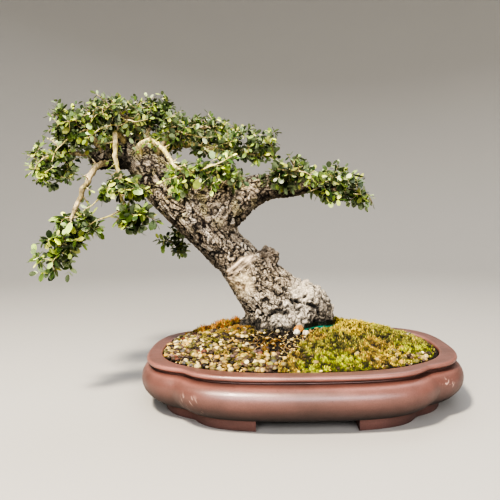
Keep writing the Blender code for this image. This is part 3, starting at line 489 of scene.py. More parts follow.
# %% [markdown]
# ## The pot
#
# Its outline is a squarish oval with a notch in each quarter, where two lobes meet. The profile
# runs from the underside up the belly, into the neck, round the lip and down inside. A lathe
# can't turn an oval, so each ring of points is worked out by formula: a superellipse gives the
# squarish oval, and a bell curve round one direction gives the notch. Each row of the profile
# has its own half width and half depth, so the lip can be rounder than the belly.

# %% The pot's driving sizes
OUTER_SQUARENESS = 2.68
INNER_SQUARENESS = 2.4
NOTCH_DEPTH = 10.6
NOTCH_DIRECTION = math.radians(36.5)
NOTCH_WIDTH = math.radians(7.6)
# Each point is (half width, half depth, height, share of the plain inner outline).
PROFILE = [
    (150.0, 110.0, 10.0, 0.0), (171.0, 129.0, 10.0, 0.0), (178.0, 135.5, 11.2, 0.0),
    (184.6, 141.4, 14.4, 0.0), (190.6, 147.0, 18.6, 0.0), (195.6, 151.8, 23.8, 0.0),
    (199.2, 155.2, 29.5, 0.0), (200.6, 156.6, 35.5, 0.0), (200.4, 156.4, 41.0, 0.0),
    (198.6, 154.4, 45.8, 0.0), (195.0, 150.2, 49.6, 0.0), (190.4, 143.4, 52.2, 0.0),
    (187.9, 137.2, 53.4, 0.0), (187.7, 136.2, 54.6, 0.0), (190.0, 138.0, 55.8, 0.0),
    (193.6, 141.2, 56.6, 0.0), (194.9, 142.5, 58.6, 0.0), (194.6, 142.2, 61.0, 0.0),
    (192.8, 140.6, 62.5, 0.06), (184.5, 131.6, 62.6, 0.5), (177.2, 124.2, 62.4, 0.95),
    (175.9, 122.9, 61.0, 1.0), (176.0, 123.0, 56.5, 1.0), (187.0, 133.0, 44.0, 1.0),
    (164.0, 112.0, 16.0, 1.0),
]
print("pot:", 2 * max(row[0] for row in PROFILE), "mm long before the notches")

# %% [markdown]
# ### Feet, marks and drain holes
#
# The pot stands on four corner feet, cut square where they end. Careless hands have scratched
# the belly near two notches. Water leaves by two holes in the floor.

# %% Sizes of the feet, scratches and holes
FOOT_OUTER = (172.0, 137.0)
FOOT_INNER = (149.0, 114.0)
FOOT_TOP = 13.0
FOOT_GAP = (56.0, 48.0)
# Places on the belly with scratches, and how far they reach.
SCRATCHED = [((-126.0, -128.0, 24.0), 24.0), ((160.0, -104.0, 34.0), 17.0)]
DRAIN_X = 72.0
DRAIN_RADIUS = 11.0


# %% The outline in each direction
def oval_radius(angle, half_width, half_depth, squareness, notch=0.0):
    """How far the outline is from the middle in a direction, notches included."""
    across = np.abs(np.cos(angle)) / half_width
    along = np.abs(np.sin(angle)) / half_depth
    radius = (across**squareness + along**squareness) ** (-1.0 / squareness)
    folded = np.arctan2(np.abs(np.sin(angle)), np.abs(np.cos(angle)))
    return radius - notch * np.exp(-((np.abs(folded - NOTCH_DIRECTION) / NOTCH_WIDTH) ** 1.6))


def resampled(rows, step):
    """Points about a step apart along a polyline, with its corners eased."""
    rows = np.array(rows, float)
    lengths = np.linalg.norm(np.diff(rows[:, :3], axis=0), axis=1)
    along = np.concatenate([[0.0], np.cumsum(lengths)])
    marks = np.linspace(0.0, along[-1], int(along[-1] / step) + 1)
    out = np.stack([np.interp(marks, along, rows[:, k]) for k in range(rows.shape[1])], axis=1)
    for _ in range(3):
        out[1:-1] = (out[:-2] + 2 * out[1:-1] + out[2:]) / 4
    return out


print("in a notch the outline lies", NOTCH_DEPTH, "mm further in")

# %% [markdown]
# ### Rings of clay
#
# The profile's few points are first spread evenly, with the corners eased, because a wet sponge
# has been over every edge. A wobble of a fraction of a millimetre keeps the hand-pressed look.
# The mesh also carries painted shade in the neck and towards the foot, a painted highlight on the lip and
# shoulder, and the scratched places.


# %% The pot's mesh
# Points in a ring, and the distance between rings along the profile.
POT_TURNS = 320
RING_STEP = 1.8


def make_pot():
    turns = np.linspace(0.0, 2 * math.pi, POT_TURNS, endpoint=False)
    rings = []
    for half_width, half_depth, z, inner in resampled(PROFILE, RING_STEP):
        outer_radius = oval_radius(turns, half_width, half_depth, OUTER_SQUARENESS, NOTCH_DEPTH)
        inner_radius = oval_radius(turns, half_width, half_depth, INNER_SQUARENESS)
        radius = blend(outer_radius, inner_radius, inner)
        rings.append(np.stack([radius * np.cos(turns), radius * np.sin(turns), np.full(POT_TURNS, z)], 1))
    points = np.concatenate(rings)
    wobble = varied(points, 60.0, 3.0) * 0.5
    points[:, :2] *= (1.0 + wobble * 0.002)[:, None]
    low, high = (0.0, 0.0, PROFILE[0][2]), (0.0, 0.0, PROFILE[-1][2])
    count = len(points)
    faces = grid_faces(len(rings), POT_TURNS)
    caps = [(count, (j + 1) % POT_TURNS, j) for j in range(POT_TURNS)]
    last = count - POT_TURNS
    caps += [(count + 1, last + j, last + (j + 1) % POT_TURNS) for j in range(POT_TURNS)]
    heap = Heap()
    tones = clay_tones(points)
    heap.add(np.concatenate([points, [low, high]]), faces, np.concatenate([tones, np.ones((2, 4))]))
    heap.faces.append(np.array(caps))
    heap.slots.append(np.zeros(len(caps)))
    for side_x in (-1, 1):
        for side_y in (-1, 1):
            add_foot(heap, side_x, side_y)
    pot = heap.build("pot_body", [clay], ["pot"], "clay")
    for x in (-DRAIN_X, DRAIN_X):
        drill(pot, x)
    return pot


def clay_tones(points):
    """White, with painted shade in the neck and towards the foot, and a painted highlight on the lip and
    shoulder.

    The mask falls to 0 where the belly is scratched.
    """
    tones = np.ones((len(points), 4))
    # Painted shade: the neck groove under the lip, and the belly darker towards the foot.
    neck = np.exp(-(((points[:, 2] - 53.8) / 2.0) ** 2))
    foot = 1.0 - eased(points[:, 2], 10.0, 45.0)
    # A painted highlight on the lip and on the shoulder of the belly.
    lip = eased(points[:, 2], 55.5, 58.0) * (1.0 - eased(points[:, 2], 61.6, 62.6))
    shoulder = np.exp(-(((points[:, 2] - 50.3) / 1.3) ** 2))
    rubbed_and_painted_highlight = 1.0 + 0.65 * lip + 0.4 * shoulder
    tones[:, :3] *= ((1.0 - 0.5 * neck) * (1.0 - 0.95 * foot) * rubbed_and_painted_highlight)[:, None]
    for place, reach in SCRATCHED:
        gap = np.linalg.norm(points - place, axis=1)
        tones[:, 3] = np.minimum(tones[:, 3], eased(gap, reach * 0.5, reach))
    return tones


# %% A foot
FOOT_SECTIONS = 60
# From the outer face under the foot to the inner face: (share of the foot's thickness, height).
FOOT_ROWS = [(0.0, FOOT_TOP), (0.0, 1.2), (0.06, 0.0), (0.94, 0.0), (1.0, 1.2), (1.0, FOOT_TOP)]


def add_foot(heap, side_x, side_y):
    """A corner foot: a bent wall between the outline and a smaller one, cut square at the gaps."""
    edges = []
    for (half_width, half_depth), notch in ((FOOT_OUTER, NOTCH_DEPTH), (FOOT_INNER, 0.0)):
        turns = np.linspace(0.0, math.pi / 2, 2000)
        radius = oval_radius(turns, half_width, half_depth, OUTER_SQUARENESS, notch)
        x, y = radius * np.cos(turns), radius * np.sin(turns)
        kept = (x >= FOOT_GAP[0]) & (y >= FOOT_GAP[1])
        pick = np.linspace(0, kept.sum() - 1, FOOT_SECTIONS).astype(int)
        edges.append(np.stack([x[kept][pick] * side_x, y[kept][pick] * side_y], 1))
    outer, inner = edges
    rows = []
    for share, z in FOOT_ROWS:
        level = blend(outer, inner, share)
        rows.append(np.concatenate([level, np.full((FOOT_SECTIONS, 1), z)], 1))
    heap.add(np.concatenate(rows), grid_faces(len(rows), FOOT_SECTIONS, closed=False), (0.75, 0.75, 0.75))
    for end in (0, FOOT_SECTIONS - 1):
        heap.add([row[end] for row in rows], [(0, 1, 2), (0, 2, 3), (0, 3, 4), (0, 4, 5)], (0.7, 0.7, 0.7))


print("a foot's wall is", FOOT_OUTER[0] - FOOT_INNER[0], "mm thick")


# %% Drain holes, drilled
DRILL_LENGTH = 40.0


def drill(pot, x):
    bm = bmesh.new()
    spot = Matrix.Translation(Vector(PLACE) + Vector((x, 0.0, 10.0)) * MM)
    radius = DRAIN_RADIUS * MM
    bmesh.ops.create_cone(
        bm, cap_ends=True, segments=48, radius1=radius, radius2=radius, depth=DRILL_LENGTH * MM, matrix=spot
    )
    mesh = bpy.data.meshes.new("drill")
    bm.to_mesh(mesh)
    bm.free()
    cutter = put("drill", mesh)
    cut = pot.modifiers.new("Drain hole", "BOOLEAN")
    cut.operation = "DIFFERENCE"
    cut.solver = "FAST"
    cut.object = cutter
    keep_modifiers(pot)
    bpy.data.objects.remove(cutter)


def keep_modifiers(obj):
    """The shape that the modifiers give becomes the object's own."""
    bpy.context.view_layer.update()
    graph = bpy.context.evaluated_depsgraph_get()
    made = bpy.data.meshes.new_from_object(obj.evaluated_get(graph))
    obj.modifiers.clear()
    obj.data = made


pot = make_pot()
print("pot, drilled:", len(pot.data.polygons), "faces")

# %% [markdown]
# ## The trunk
#
# The trunk leans to the left from a flared foot. It has a burl at its base, the knob of a sawn
# branch half way up, a dead stub at the top and one long limb to the right. It could be sculpted
# by hand, but a script can't hold a brush. Here each limb is a list of points with a radius, as
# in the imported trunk, and everything else follows from those lists.

# %% The limbs, as points of (x, y, z, radius)
TRUNK = [
    (-13, 52, 46, 44), (-14, 50, 66, 50), (-18, 48, 89, 50), (-30, 45, 114, 45),
    (-46, 42, 134, 38.5), (-61, 40, 151, 34), (-76, 38, 169, 30), (-93, 36, 187, 28),
    (-108, 34, 206, 30.5), (-124, 32, 226, 32.5), (-145, 30, 247, 32), (-167, 27, 270, 30),
    (-186, 24, 294, 28.5), (-202, 22, 312, 27),
]
STUB = [
    (-193, 22, 310, 24), (-216, 20, 319, 23), (-238, 16, 317, 20), (-257, 12, 312, 15),
    (-268, 10, 308, 9),
]
RIGHT_LIMB = [
    (-110, 32, 226, 27), (-93, 30, 240, 26), (-75, 27, 255, 24), (-55, 24, 266, 20.5),
    (-32, 21, 271, 16.5), (-6, 18, 270, 12.5), (23, 16, 270, 9.3), (56, 14, 266, 6.8),
    (84, 12, 260, 4.6),
]
CUT_KNOB = [(-51, 38, 161, 19), (-37, 34, 178, 14.5), (-31, 32, 187, 11.5)]
BURL = [(-2, 42, 104, 32), (14, 43, 112, 28), (28, 42, 97, 25), (38, 42, 80, 17)]
ROOTS = [
    [(-38, 48, 96, 24), (-62, 44, 84, 15), (-78, 40, 70, 8)],
    [(-32, 34, 96, 22), (-46, 14, 80, 12), (-54, 2, 66, 7)],
    [(-8, 34, 94, 24), (-4, 16, 80, 14), (0, 6, 66, 8)],
    [(0, 62, 96, 24), (8, 82, 80, 13), (12, 94, 64, 7)],
    [(-42, 60, 96, 22), (-62, 76, 80, 11), (-72, 86, 64, 7)],
]
# Old wood that fills the fork.
SHOULDER = [(-140, 31, 250, 28), (-112, 31, 256, 25), (-82, 28, 262, 22)]
LIMBS = [TRUNK, STUB, RIGHT_LIMB, SHOULDER, CUT_KNOB, BURL, *ROOTS]
print(len(LIMBS), "limbs,", sum(len(limb) for limb in LIMBS), "points")


# %% [markdown]
# ### Tubes along a path
#
# A tube needs a cross direction at each point. Taking it from the upright would twist the tube
# where it turns upright. Each one is turned as little as possible from the one before.


# %% Tubes
def frames(points):
    """Place, direction and two cross directions at each point, turned as little as possible."""
    places = [Vector(p[:3]) for p in points]
    found = []
    side = None
    for i, place in enumerate(places):
        ahead = places[min(i + 1, len(places) - 1)]
        behind = places[max(i - 1, 0)]
        along = (ahead - behind).normalized()
        if side is None:
            side = along.orthogonal().normalized()
        side = (side - along * side.dot(along)).normalized()
        found.append((place, along, side, along.cross(side)))
    return found


def tube(heap, points, sides, tone, slot=0):
    """A limb or twig: rings of varying radius along a path, closed at its ends."""
    rings = []
    for (place, _, side, other), point in zip(frames(points), points):
        turns = [2 * math.pi * k / sides for k in range(sides)]
        rings += [place + point[3] * (math.cos(t) * side + math.sin(t) * other) for t in turns]
    rows = len(points)
    faces = grid_faces(rows, sides)
    triangles = [(a, b, c) for a, b, c, d in faces] + [(a, c, d) for a, b, c, d in faces]
    ends = [Vector(points[0][:3]), Vector(points[-1][:3])]
    count = rows * sides
    for k in range(sides):
        j = (k + 1) % sides
        triangles += [(count, j, k), (count + 1, count - sides + k, count - sides + j)]
    heap.add(rings + ends, triangles, tone, slot)


def curved(points, step):
    """Points of a smooth curve through the given ones, about a step apart, radius included."""
    rows = [Vector(p) for p in points]
    out = []
    for i in range(len(rows) - 1):
        before = rows[max(i - 1, 0)]
        a, b = rows[i], rows[i + 1]
        after = rows[min(i + 2, len(rows) - 1)]
        count = max(1, round((b.xyz - a.xyz).length / step))
        for k in range(count):
            t = k / count
            square = (2 * before - 5 * a + 4 * b - after) * t * t
            cube = (3 * a - before - 3 * b + after) * t**3
            out.append(0.5 * (2 * a + (b - before) * t + square + cube))
    out.append(rows[-1])
    return out


print("the trunk's curve in 6 mm steps:", len(curved(TRUNK, 6.0)), "points")

# %% [markdown]
# ### Joining the limbs
#
# A Boolean union would leave a sharp line where limbs meet, and wood has none. A voxel remesh
# turns all the tubes into one skin. Smoothing then rounds the joints, as growth does. The skin's
# points lie 1.3 mm apart, so that one pixel of the picture has about one point.


# %% Joined limbs, relaxed so that they grow out of one another
LIMB_SIDES = 28
WOOD_VOXEL = 1.3
WOOD_BOTTOM = 60.0


def joined_limbs():
    heap = Heap()
    for limb in LIMBS:
        tube(heap, curved(limb, 6.0), LIMB_SIDES, (1.0, 1.0, 1.0))
    wood = heap.build("trunk_wood", [bark], ["trunk"], "bark")
    remesh = wood.modifiers.new("Remesh", "REMESH")
    remesh.mode = "VOXEL"
    remesh.voxel_size = WOOD_VOXEL * MM
    remesh.use_smooth_shade = True
    relax = wood.modifiers.new("Smooth", "SMOOTH")
    relax.iterations = 30
    keep_modifiers(wood)
    bm = bmesh.new()
    bm.from_mesh(wood.data)
    geometry = bm.verts[:] + bm.edges[:] + bm.faces[:]
    cut = {"plane_co": (0.0, 0.0, WOOD_BOTTOM * MM), "plane_no": (0.0, 0.0, 1.0), "clear_inner": True}
    bmesh.ops.bisect_plane(bm, geom=geometry, dist=1e-6, **cut)
    bmesh.ops.holes_fill(bm, edges=[edge for edge in bm.edges if edge.is_boundary])
    bmesh.ops.triangulate(bm, faces=bm.faces)
    bm.to_mesh(wood.data)
    bm.free()
    print("wood:", len(wood.data.polygons), "faces")
    return wood


wood = joined_limbs()

# %% [markdown]
# ### The grain
#
# Bark splits along the limb it covers. So each point of the skin looks for the nearest place on
# each limb, and takes its own place in that limb's terms: two ways across and one along. Where
# limbs meet, the answers are blended by weight.


# %% Where a point lies on each limb
GRAIN_STEP = 4.0
GRAIN_PATHS = [curved(limb, GRAIN_STEP) for limb in LIMBS]
GRAIN = [list(zip(path, frames(path))) for path in GRAIN_PATHS]
# How far from the joint of two limbs their grains mix, in mm.
GRAIN_BLEND = 5.0


def grain_places(point):
    """Where a point lies on each limb that is near: (weight, across, across, along)."""
    found = []
    for index, limb in enumerate(GRAIN):
        best = min(range(len(limb)), key=lambda k: (limb[k][0].xyz - point).length_squared)
        row, (place, along, side, other) = limb[best]
        offset = point - place
        down = best * GRAIN_STEP + offset.dot(along)
        found.append((offset.length - row.w, Vector((offset.dot(side), offset.dot(other), down)), index))
    nearest = min(f[0] for f in found)
    kept = [(max(0.0, 1.0 - (f[0] - nearest) / GRAIN_BLEND) ** 2, f[1], f[2]) for f in found]
    return [f for f in kept if f[0] > 0.0]


print("limbs near the fork:", len(grain_places(Vector((-115.0, 5.0, 245.0)))))


# %% [markdown]
# ### Plates and flakes
#
# Growth splits the bark into plates: cells of a Voronoi pattern, drawn out along the limb and
# bent by noise, with a crack where two cells meet. Weather then lifts the plates in thin curled
# flakes. Contour lines of a smooth noise have just such curls, so the noise is cut in steps. A
# flake rises to its curled edge, drops to the next one, and leaves a shadow there.


# %% Plates and flakes
def plates(where, size, stretch, warp):
    """0 in a crack and 1 on a plate, and a number for each plate."""
    swing = Vector([noise.noise(where / 15 + UP * shift) for shift in (0, 9, -9)])
    curl = Vector([noise.noise(where / 6 + UP * shift) for shift in (0, 5, -5)])
    where = where + swing * warp + curl * warp * 0.45
    distances, centres = noise.voronoi(Vector((where.x, where.y, where.z / stretch)) / size)
    return distances[1] - distances[0], noise.cell(centres[0] * 7.3)


def flakes(where, size, steps, stretch):
    """How far up its curled edge a point of a flake lies, from 0 to 1, and a number for the flake."""
    spot = Vector((where.x, where.y, where.z / stretch)) / size
    bend = Vector([noise.noise(spot * 2.4 + UP * shift) for shift in (2, 6, 13)])
    field = noise.noise(spot + bend * 0.3) * steps + 40.0
    level = math.floor(field)
    return field - level, noise.cell(Vector((level * 1.7, level * 3.1, size)))


sample = Vector((5.0, 9.0, 40.0))
found = [*plates(sample, 13.0, 2.3, 9.0), *flakes(sample, 17.0, 6.0, 2.1)]
print("plate and flake at one place:", np.round(found, 2))


# %% [markdown]
# ### Marks of its age
#
# A band of grey wood crosses the trunk where a branch was torn off, with a tan patch and two knots below
# it. Dead wood has bleached on the burl, over a deep crease, and a pale knob stands at a hollow in the
# root. These are places of this one tree, so they are listed one by one.

# %% Places on the wood, in mm
SCAR = [(-50, 12, 186), (-62, 10, 178), (-72, 9, 171), (-84, 13, 161), (-90, 16, 154)]
TAN_PATCH = (-76, 14, 140)
SCAR_ACROSS = 177.0
KNOTS = [(-79, 12, 143), (-71, 10, 139)]
KNOB = (-38, 32, 184)
DEADWOOD = (8, 18, 131)
PALE_KNOB = (-29, 1, 95)
BURL_FLANK = (38, 22, 92)
BURL_MIDDLE = (12, 44, 100)
LEFT_ROOT = (-66, 22, 88)
STUB_MIDDLE = (-246, 14, 314)
LIMB_MIDDLE = (-20, 18, 270)
BURL_CREASE = [(-8, 7, 121), (2, 11, 118), (19, 16, 114), (27, 17, 107), (30, 18, 98)]
HOLLOW = [(-34, 3, 105), (-26, 0, 108), (-19, 1, 105)]
OLD_CREASE = [(-46, 20, 176), (-38, 14, 158), (-22, 11, 142), (-8, 8, 122)]
HOLES = [((1, 11, 119), 3.4), ((11, 18, 124), 2.8), ((-6, 7, 118), 3.0), ((24, 26, 118), 3.0)]


def near_path(point, path, width):
    """1 on a path, and 0 from about this far off it."""
    gap = min(
        (point - Vector(a).lerp(Vector(b), t / 4)).length for a, b in zip(path, path[1:]) for t in range(5)
    )
    return float(1.0 - eased(gap, width * 0.7, width * 1.3))


def near(point, centre, radius, soft=0.35):
    """1 at a place, and 0 from about this far off it."""
    gap = (point - Vector(centre)).length
    return float(1.0 - eased(gap, radius * (1 - soft), radius * (1 + soft)))


# %% The bark's colours
CRACK = colour("#1f1813")
BROWN = colour("#8a7b66")
GREY = colour("#c6b8a2")
PALE = colour("#ece2d0")
TAN = colour("#d8c4a0")
DEAD = colour("#f0e2c8")
STAIN = colour("#7f6142")
LICHEN = colour("#aca45e")
print("a crack reflects", CRACK.mean().round(3), "of the light, and bleached wood", DEAD.mean().round(3))


# %% Bark at a point
def bark_at(point):
    """Height in millimetres, and colour, of the bark at a point of the smooth wood."""
    height = 0.0
    tone = np.zeros(3)
    total = 0.0
    for weight, where, limb in grain_places(point):
        slender = min(1.0, max(0.25, (30.0 - point.x) / 60.0))
        where = where + Vector((limb * 31.0, limb * 17.0, 0.0))
        wide, number = plates(where, size=13.0, stretch=2.3, warp=9.0)
        rise, other = flakes(where, size=17.0, steps=6.0, stretch=2.1)
        rough = noise.fractal(Vector((where.x, where.y, where.z / 1.8)) / 3.0, 0.9, 2.1, 3)
        plate = float(eased(wide, 0.01, 0.17))
        shadow = float(eased(rise, 0.02, 0.34))
        raised = plate * 2.4 + rise * 1.7 + rough * 0.7
        height += weight * (raised - 3.1) * slender
        # Each flake is darker at its foot, in painted shade under the next edge, and lighter towards its
        # own curled edge: weathered wood with a painted highlight.
        light = 0.47 + 0.45 * (number - 0.5) + 0.55 * (other - 0.5) + 0.26 * rough + 0.35 * (rise - 0.5)
        light = float(np.clip(light, 0.0, 1.0))
        top = blend(blend(BROWN, PALE, light), GREY, 0.35)
        deep = plate * (0.06 + 0.94 * shadow)
        tone += weight * blend(CRACK, top, deep)
        total += weight
    return height / total, tone / total


print("bark on the trunk:", round(bark_at(Vector((-90.0, 10.0, 190.0)))[0], 2), "mm high")


# %% The scar
def scarred(point, height, tone, flaky):
    """The band where a branch was torn off, smooth and lined along its length, and dark beside it."""
    lengthwise = point.x * 0.78 + point.z * 0.62
    across = point.z * 0.78 - point.x * 0.62
    lines = noise.fractal(Vector((across / 3.6, point.y / 5.0, lengthwise / 26.0)), 1, 2, 3)
    swirl = noise.noise(point / 9)
    scar = near_path(point, SCAR, 7.4 + 2.0 * swirl)
    side = near_path(point, SCAR, 10.5) * (1 - near_path(point, SCAR, 8.0)) * (across > SCAR_ACROSS)
    smooth = blend(GREY, STAIN, 0.38) * max(0.2, 0.95 + 1.7 * lines)
    height = blend(height, 0.3 + 0.9 * lines, scar) - side
    tone = blend(tone, smooth, scar) * (1 - 0.6 * side)
    patch = near(point, TAN_PATCH, 20.0 + 6.0 * swirl) * (1 - scar)
    speck = noise.fractal(point / 5, 1, 2, 3)
    tan = np.clip(TAN * (0.9 + 0.3 * lines + 0.6 * speck), 0.02, 1.0)
    height = height * (1 - patch * 0.7) + patch * 0.9 * speck
    tone = blend(tone, tan, patch * 0.7)
    for knot in KNOTS:
        eye = near(point, knot, 3.6, 0.5)
        height += 1.2 * eye * math.sin((point - Vector(knot)).length * 1.7)
        tone = tone * (1 - 0.7 * eye) + STAIN * 0.35 * eye
    return height, tone, flaky - 0.8 * scar - 0.6 * patch


print("flakiness in the scar:", round(scarred(Vector(SCAR[2]), 0.0, GREY, 1.0)[2], 2))

# %% [markdown]
# ### Burl and knob
#
# A burl grows from sleeping buds, so its grain turns in every direction. The absolute value of noise has
# sharp valleys and round hills, and gives both the ridges and the creases. The creases, hollows and holes
# are pushed in and darkened with painted shade, because a real hole holds shade. The burl's lower right
# side gets painted shade too.


# %% Burl, knob, dead wood and holes
def gnarled(point, height, tone, flaky):
    """The cut knob and the burl: ridges and creases of 8 mm, bleached bare wood, pits and holes, with
    painted shade in the creases and holes and on the burl's lower right side.
    """
    swirl = noise.noise(point / 9)
    turned = point + 5.0 * Vector((swirl, noise.noise(point / 9 + UP * 4), noise.noise(point / 9 - UP * 4)))
    ridge = abs(noise.noise(turned / 8.5))
    pits = abs(noise.noise(turned / 3.4 + UP * 5))
    crease = float(1.0 - eased(ridge, 0.0, 0.1))
    knob = near(point, KNOB, 17.0, 0.3)
    burl = near(point, BURL_MIDDLE, 50.0, 0.25) * float(1 - eased(point.z, 128.0, 150.0) * (point.x < -30))
    gnarl = max(knob, burl)
    height += gnarl * (ridge * 7.0 + pits * 2.5 - 2.4)
    pale = gnarl * 0.25 * (1 - crease)
    tone = blend(tone, PALE * min(1.0, 0.3 + 2 * ridge), pale)
    # Painted shade in the creases.
    tone = tone * (1 - 0.75 * gnarl * crease)
    tone = tone * (1 - 0.35 * knob) + STAIN * 0.2 * knob
    flaky -= 0.35 * gnarl
    dead = max(near(point, DEADWOOD, 16.0 + 7.0 * swirl), near(point, PALE_KNOB, 7.5 + 3.0 * swirl))
    # Bleached dead wood, with painted shade in its creases and pits.
    bleached = DEAD * min(0.7, 0.02 + 1.8 * ridge + 1.2 * pits)
    tone = blend(tone, bleached, dead * 0.85)
    flaky -= 0.3 * dead
    # Painted shade on the burl's lower right side, with a little stain.
    flank_painted_shade = near(point, BURL_FLANK, 28.0, 0.5) * (1 - dead)
    tone = tone * (1 - 0.72 * flank_painted_shade) + STAIN * 0.1 * flank_painted_shade
    # Cut creases and hollows, pushed in and darkened with painted shade.
    for path, width, depth in ((BURL_CREASE, 2.4, 3.0), (HOLLOW, 4.2, 4.0), (OLD_CREASE, 1.8, 2.0)):
        cut = near_path(point + 2.0 * Vector((swirl, 0.0, swirl)), path, width)
        height -= cut * depth
        tone = tone * (1 - 0.9 * cut)
    for centre, radius in HOLES:
        hole = near(point, centre, radius)
        height -= hole * radius * 0.9
        tone = tone * (1 - hole * 0.92)
    return height, tone, flaky


print("in a hole the skin moves by", round(gnarled(Vector(HOLES[0][0]), 0.0, GREY, 1.0)[0], 1), "mm")

# %% [markdown]
# ### Weather, and painted light and shade
#
# Painted light brightens the wood higher up, and painted shade darkens the undersides and the wood beneath
# the crown. Lichen grows high up, and the wood is darker at the ground. Each is a share between 0 and 1
# that pulls the colour.


# %% Weather, and painted light and shade
def weather_and_painted_light(point, tone, normal):
    """Cream low down where the bark has worn, lichen high up, painted light higher up, painted shade on the
    undersides and beneath the crown, and darker wood at the ground.
    """
    low = float(1.0 - eased(point.z, 100.0, 150.0))
    cream = PALE * (0.9 + 0.4 * noise.noise(point / 8))
    tone = blend(tone, cream * min(1.0, tone.mean() * 4), low * 0.4)
    lichen = 0.35 * float(eased(noise.noise(point / 14 + UP * 30), 0.1, 0.4) * eased(point.z, 190, 250))
    tone = blend(tone, LICHEN * min(1.0, tone.mean() * 2.5), lichen)
    # Painted light: the wood is brighter higher up.
    painted_light_above = 1.0 + 0.52 * float(eased(point.z, 170.0, 270.0))
    # Painted shade on faces that turn downwards.
    under = float(eased(-normal[2], 0.1, 0.75))
    # Painted shade beneath the crown, on the stub and on the right limb.
    painted_crown_shade = max(near(point, STUB_MIDDLE, 36.0, 0.4), near(point, LIMB_MIDDLE, 36.0, 0.5) * 0.3)
    # Darker towards the ground.
    edge = 90.0 + 8.0 * noise.noise(point / 9) + 6.0 * near(point, LEFT_ROOT, 24.0)
    darker_at_ground = float(1.0 - eased(point.z, edge - 6.0, edge + 5.0))
    return tone * painted_light_above * (1 - 0.7 * under) * (1 - 0.68 * painted_crown_shade) * (1 - 0.88 * darker_at_ground)


print("wood at the ground:", weather_and_painted_light(Vector((-20.0, 5.0, 80.0)), GREY, (0.0, -1.0, 0.0)).round(3))

# %% [markdown]
# ### Carving
#
# A displacement texture would move the skin too, but it can't know about limbs or scars. So each
# point is moved along its normal by the height found for it, and keeps its colour. The fourth
# number of the colour says how flaky the shader may draw it.


# %% Every point of the skin is carved and coloured
# Below this height in mm the wood is in the soil and stays as it is.
BURIED = 58.0
# The relief fades in between these heights, so that the skin meets the soil cleanly.
RELIEF_FADE = (62.0, 76.0)
# Broad swells of the whole limb, 2.2 mm high and 30 mm long.
BARK_SWELL = 2.2
SWELL_LENGTH = 30


def carve_bark():
    mesh = wood.data
    count = len(mesh.vertices)
    points = np.empty(count * 3)
    normals = np.empty(count * 3)
    mesh.vertices.foreach_get("co", points)
    mesh.vertex_normals.foreach_get("vector", normals)
    points = points.reshape(-1, 3)
    normals = normals.reshape(-1, 3)
    tones = np.ones((count, 4))
    for i in range(count):
        point = Vector((points[i] - PLACE) / MM)
        if point.z < BURIED:
            tones[i, :3] = CRACK
            continue
        height, tone, flaky = gnarled(point, *scarred(point, *bark_at(point), 1.0))
        tone = weather_and_painted_light(point, tone, normals[i])
        clear = float(eased(point.z, *RELIEF_FADE))
        height = height * clear + BARK_SWELL * noise.noise(point / SWELL_LENGTH) * clear
        points[i] += normals[i] * height * MM
        tones[i, :3] = np.clip(tone, 0.0, 1.0)
        tones[i, 3] = max(0.0, flaky)
    mesh.vertices.foreach_set("co", points.ravel())
    while mesh.color_attributes:
        mesh.color_attributes.remove(mesh.color_attributes[0])
    paint(mesh, tones)
    mesh.update()
    print(f"bark carved on {count} points")


carve_bark()

# %% [markdown]
# ## Soil, grit and moss
#
# The soil is a low dome, highest beside the trunk, that meets the lip all round. Grit, moss and
# stones all lie on it, so one function gives the ground's height for any place, and nothing
# floats or sinks. Others say where the moss beds, the bare earth and the damp earth are: below 1
# inside and above 1 outside, with an edge made uneven by sines.

# %% The ground's height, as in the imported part
POT_INNER_RIM = (176.0, 123.0)
SOIL_EDGE_Z = 59.5
SOIL_DOME = 22.5
DOME_CENTRE = Vector((-20.0, 50.0))
DOME_FLATNESS = 2.2
SOIL_INSET = 0.8
# Centre, half width, half depth and thickness of each bed.
MOSS_BEDS = {"moss_bed_right": ((72, 0), 106, 124, 6), "moss_bed_back_left": ((-112, 64), 44, 26, 6)}
# The right bed's left edge, from front to back.
MOSS_LEFT_Y = [-125, -105, -80, -50, -20, 0, 43, 95]
MOSS_LEFT_X = [-34, -28, -16, 2, 14, 24, 30, 10]
BARE_CENTRE = (2.0, 38.0)
BARE_SIZE = (55.0, 50.0)
# Damp earth with roots in front of the trunk, where little grit lies.
DARK_EARTH = (-36.0, -16.0)
DARK_SIZE = (31.0, 62.0)
RIM_STEPS = 720


def rim_distances():
    """How far the rim is from the dome's centre in each of many directions."""
    turns = np.linspace(-math.pi, math.pi, RIM_STEPS + 1)
    low = np.zeros(len(turns))
    high = np.full(len(turns), 400.0)
    for _ in range(40):
        middle = (low + high) / 2
        x = DOME_CENTRE.x + np.cos(turns) * middle
        y = DOME_CENTRE.y + np.sin(turns) * middle
        inside = np.hypot(x, y) < oval_radius(np.arctan2(y, x), *POT_INNER_RIM, INNER_SQUARENESS)
        low = np.where(inside, middle, low)
        high = np.where(inside, high, middle)
    return turns, low


RIM_TURNS, RIM_REACH = rim_distances()


def rim_fraction(x, y):
    """0 at the dome's top and 1 where the soil meets the pot's lip."""
    dx, dy = np.asarray(x) - DOME_CENTRE.x, np.asarray(y) - DOME_CENTRE.y
    return np.hypot(dx, dy) / np.interp(np.arctan2(dy, dx), RIM_TURNS, RIM_REACH)


def smooth_ground(x, y):
    """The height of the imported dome."""
    return SOIL_EDGE_Z + SOIL_DOME * (1.0 - np.minimum(1.0, rim_fraction(x, y)) ** DOME_FLATNESS)


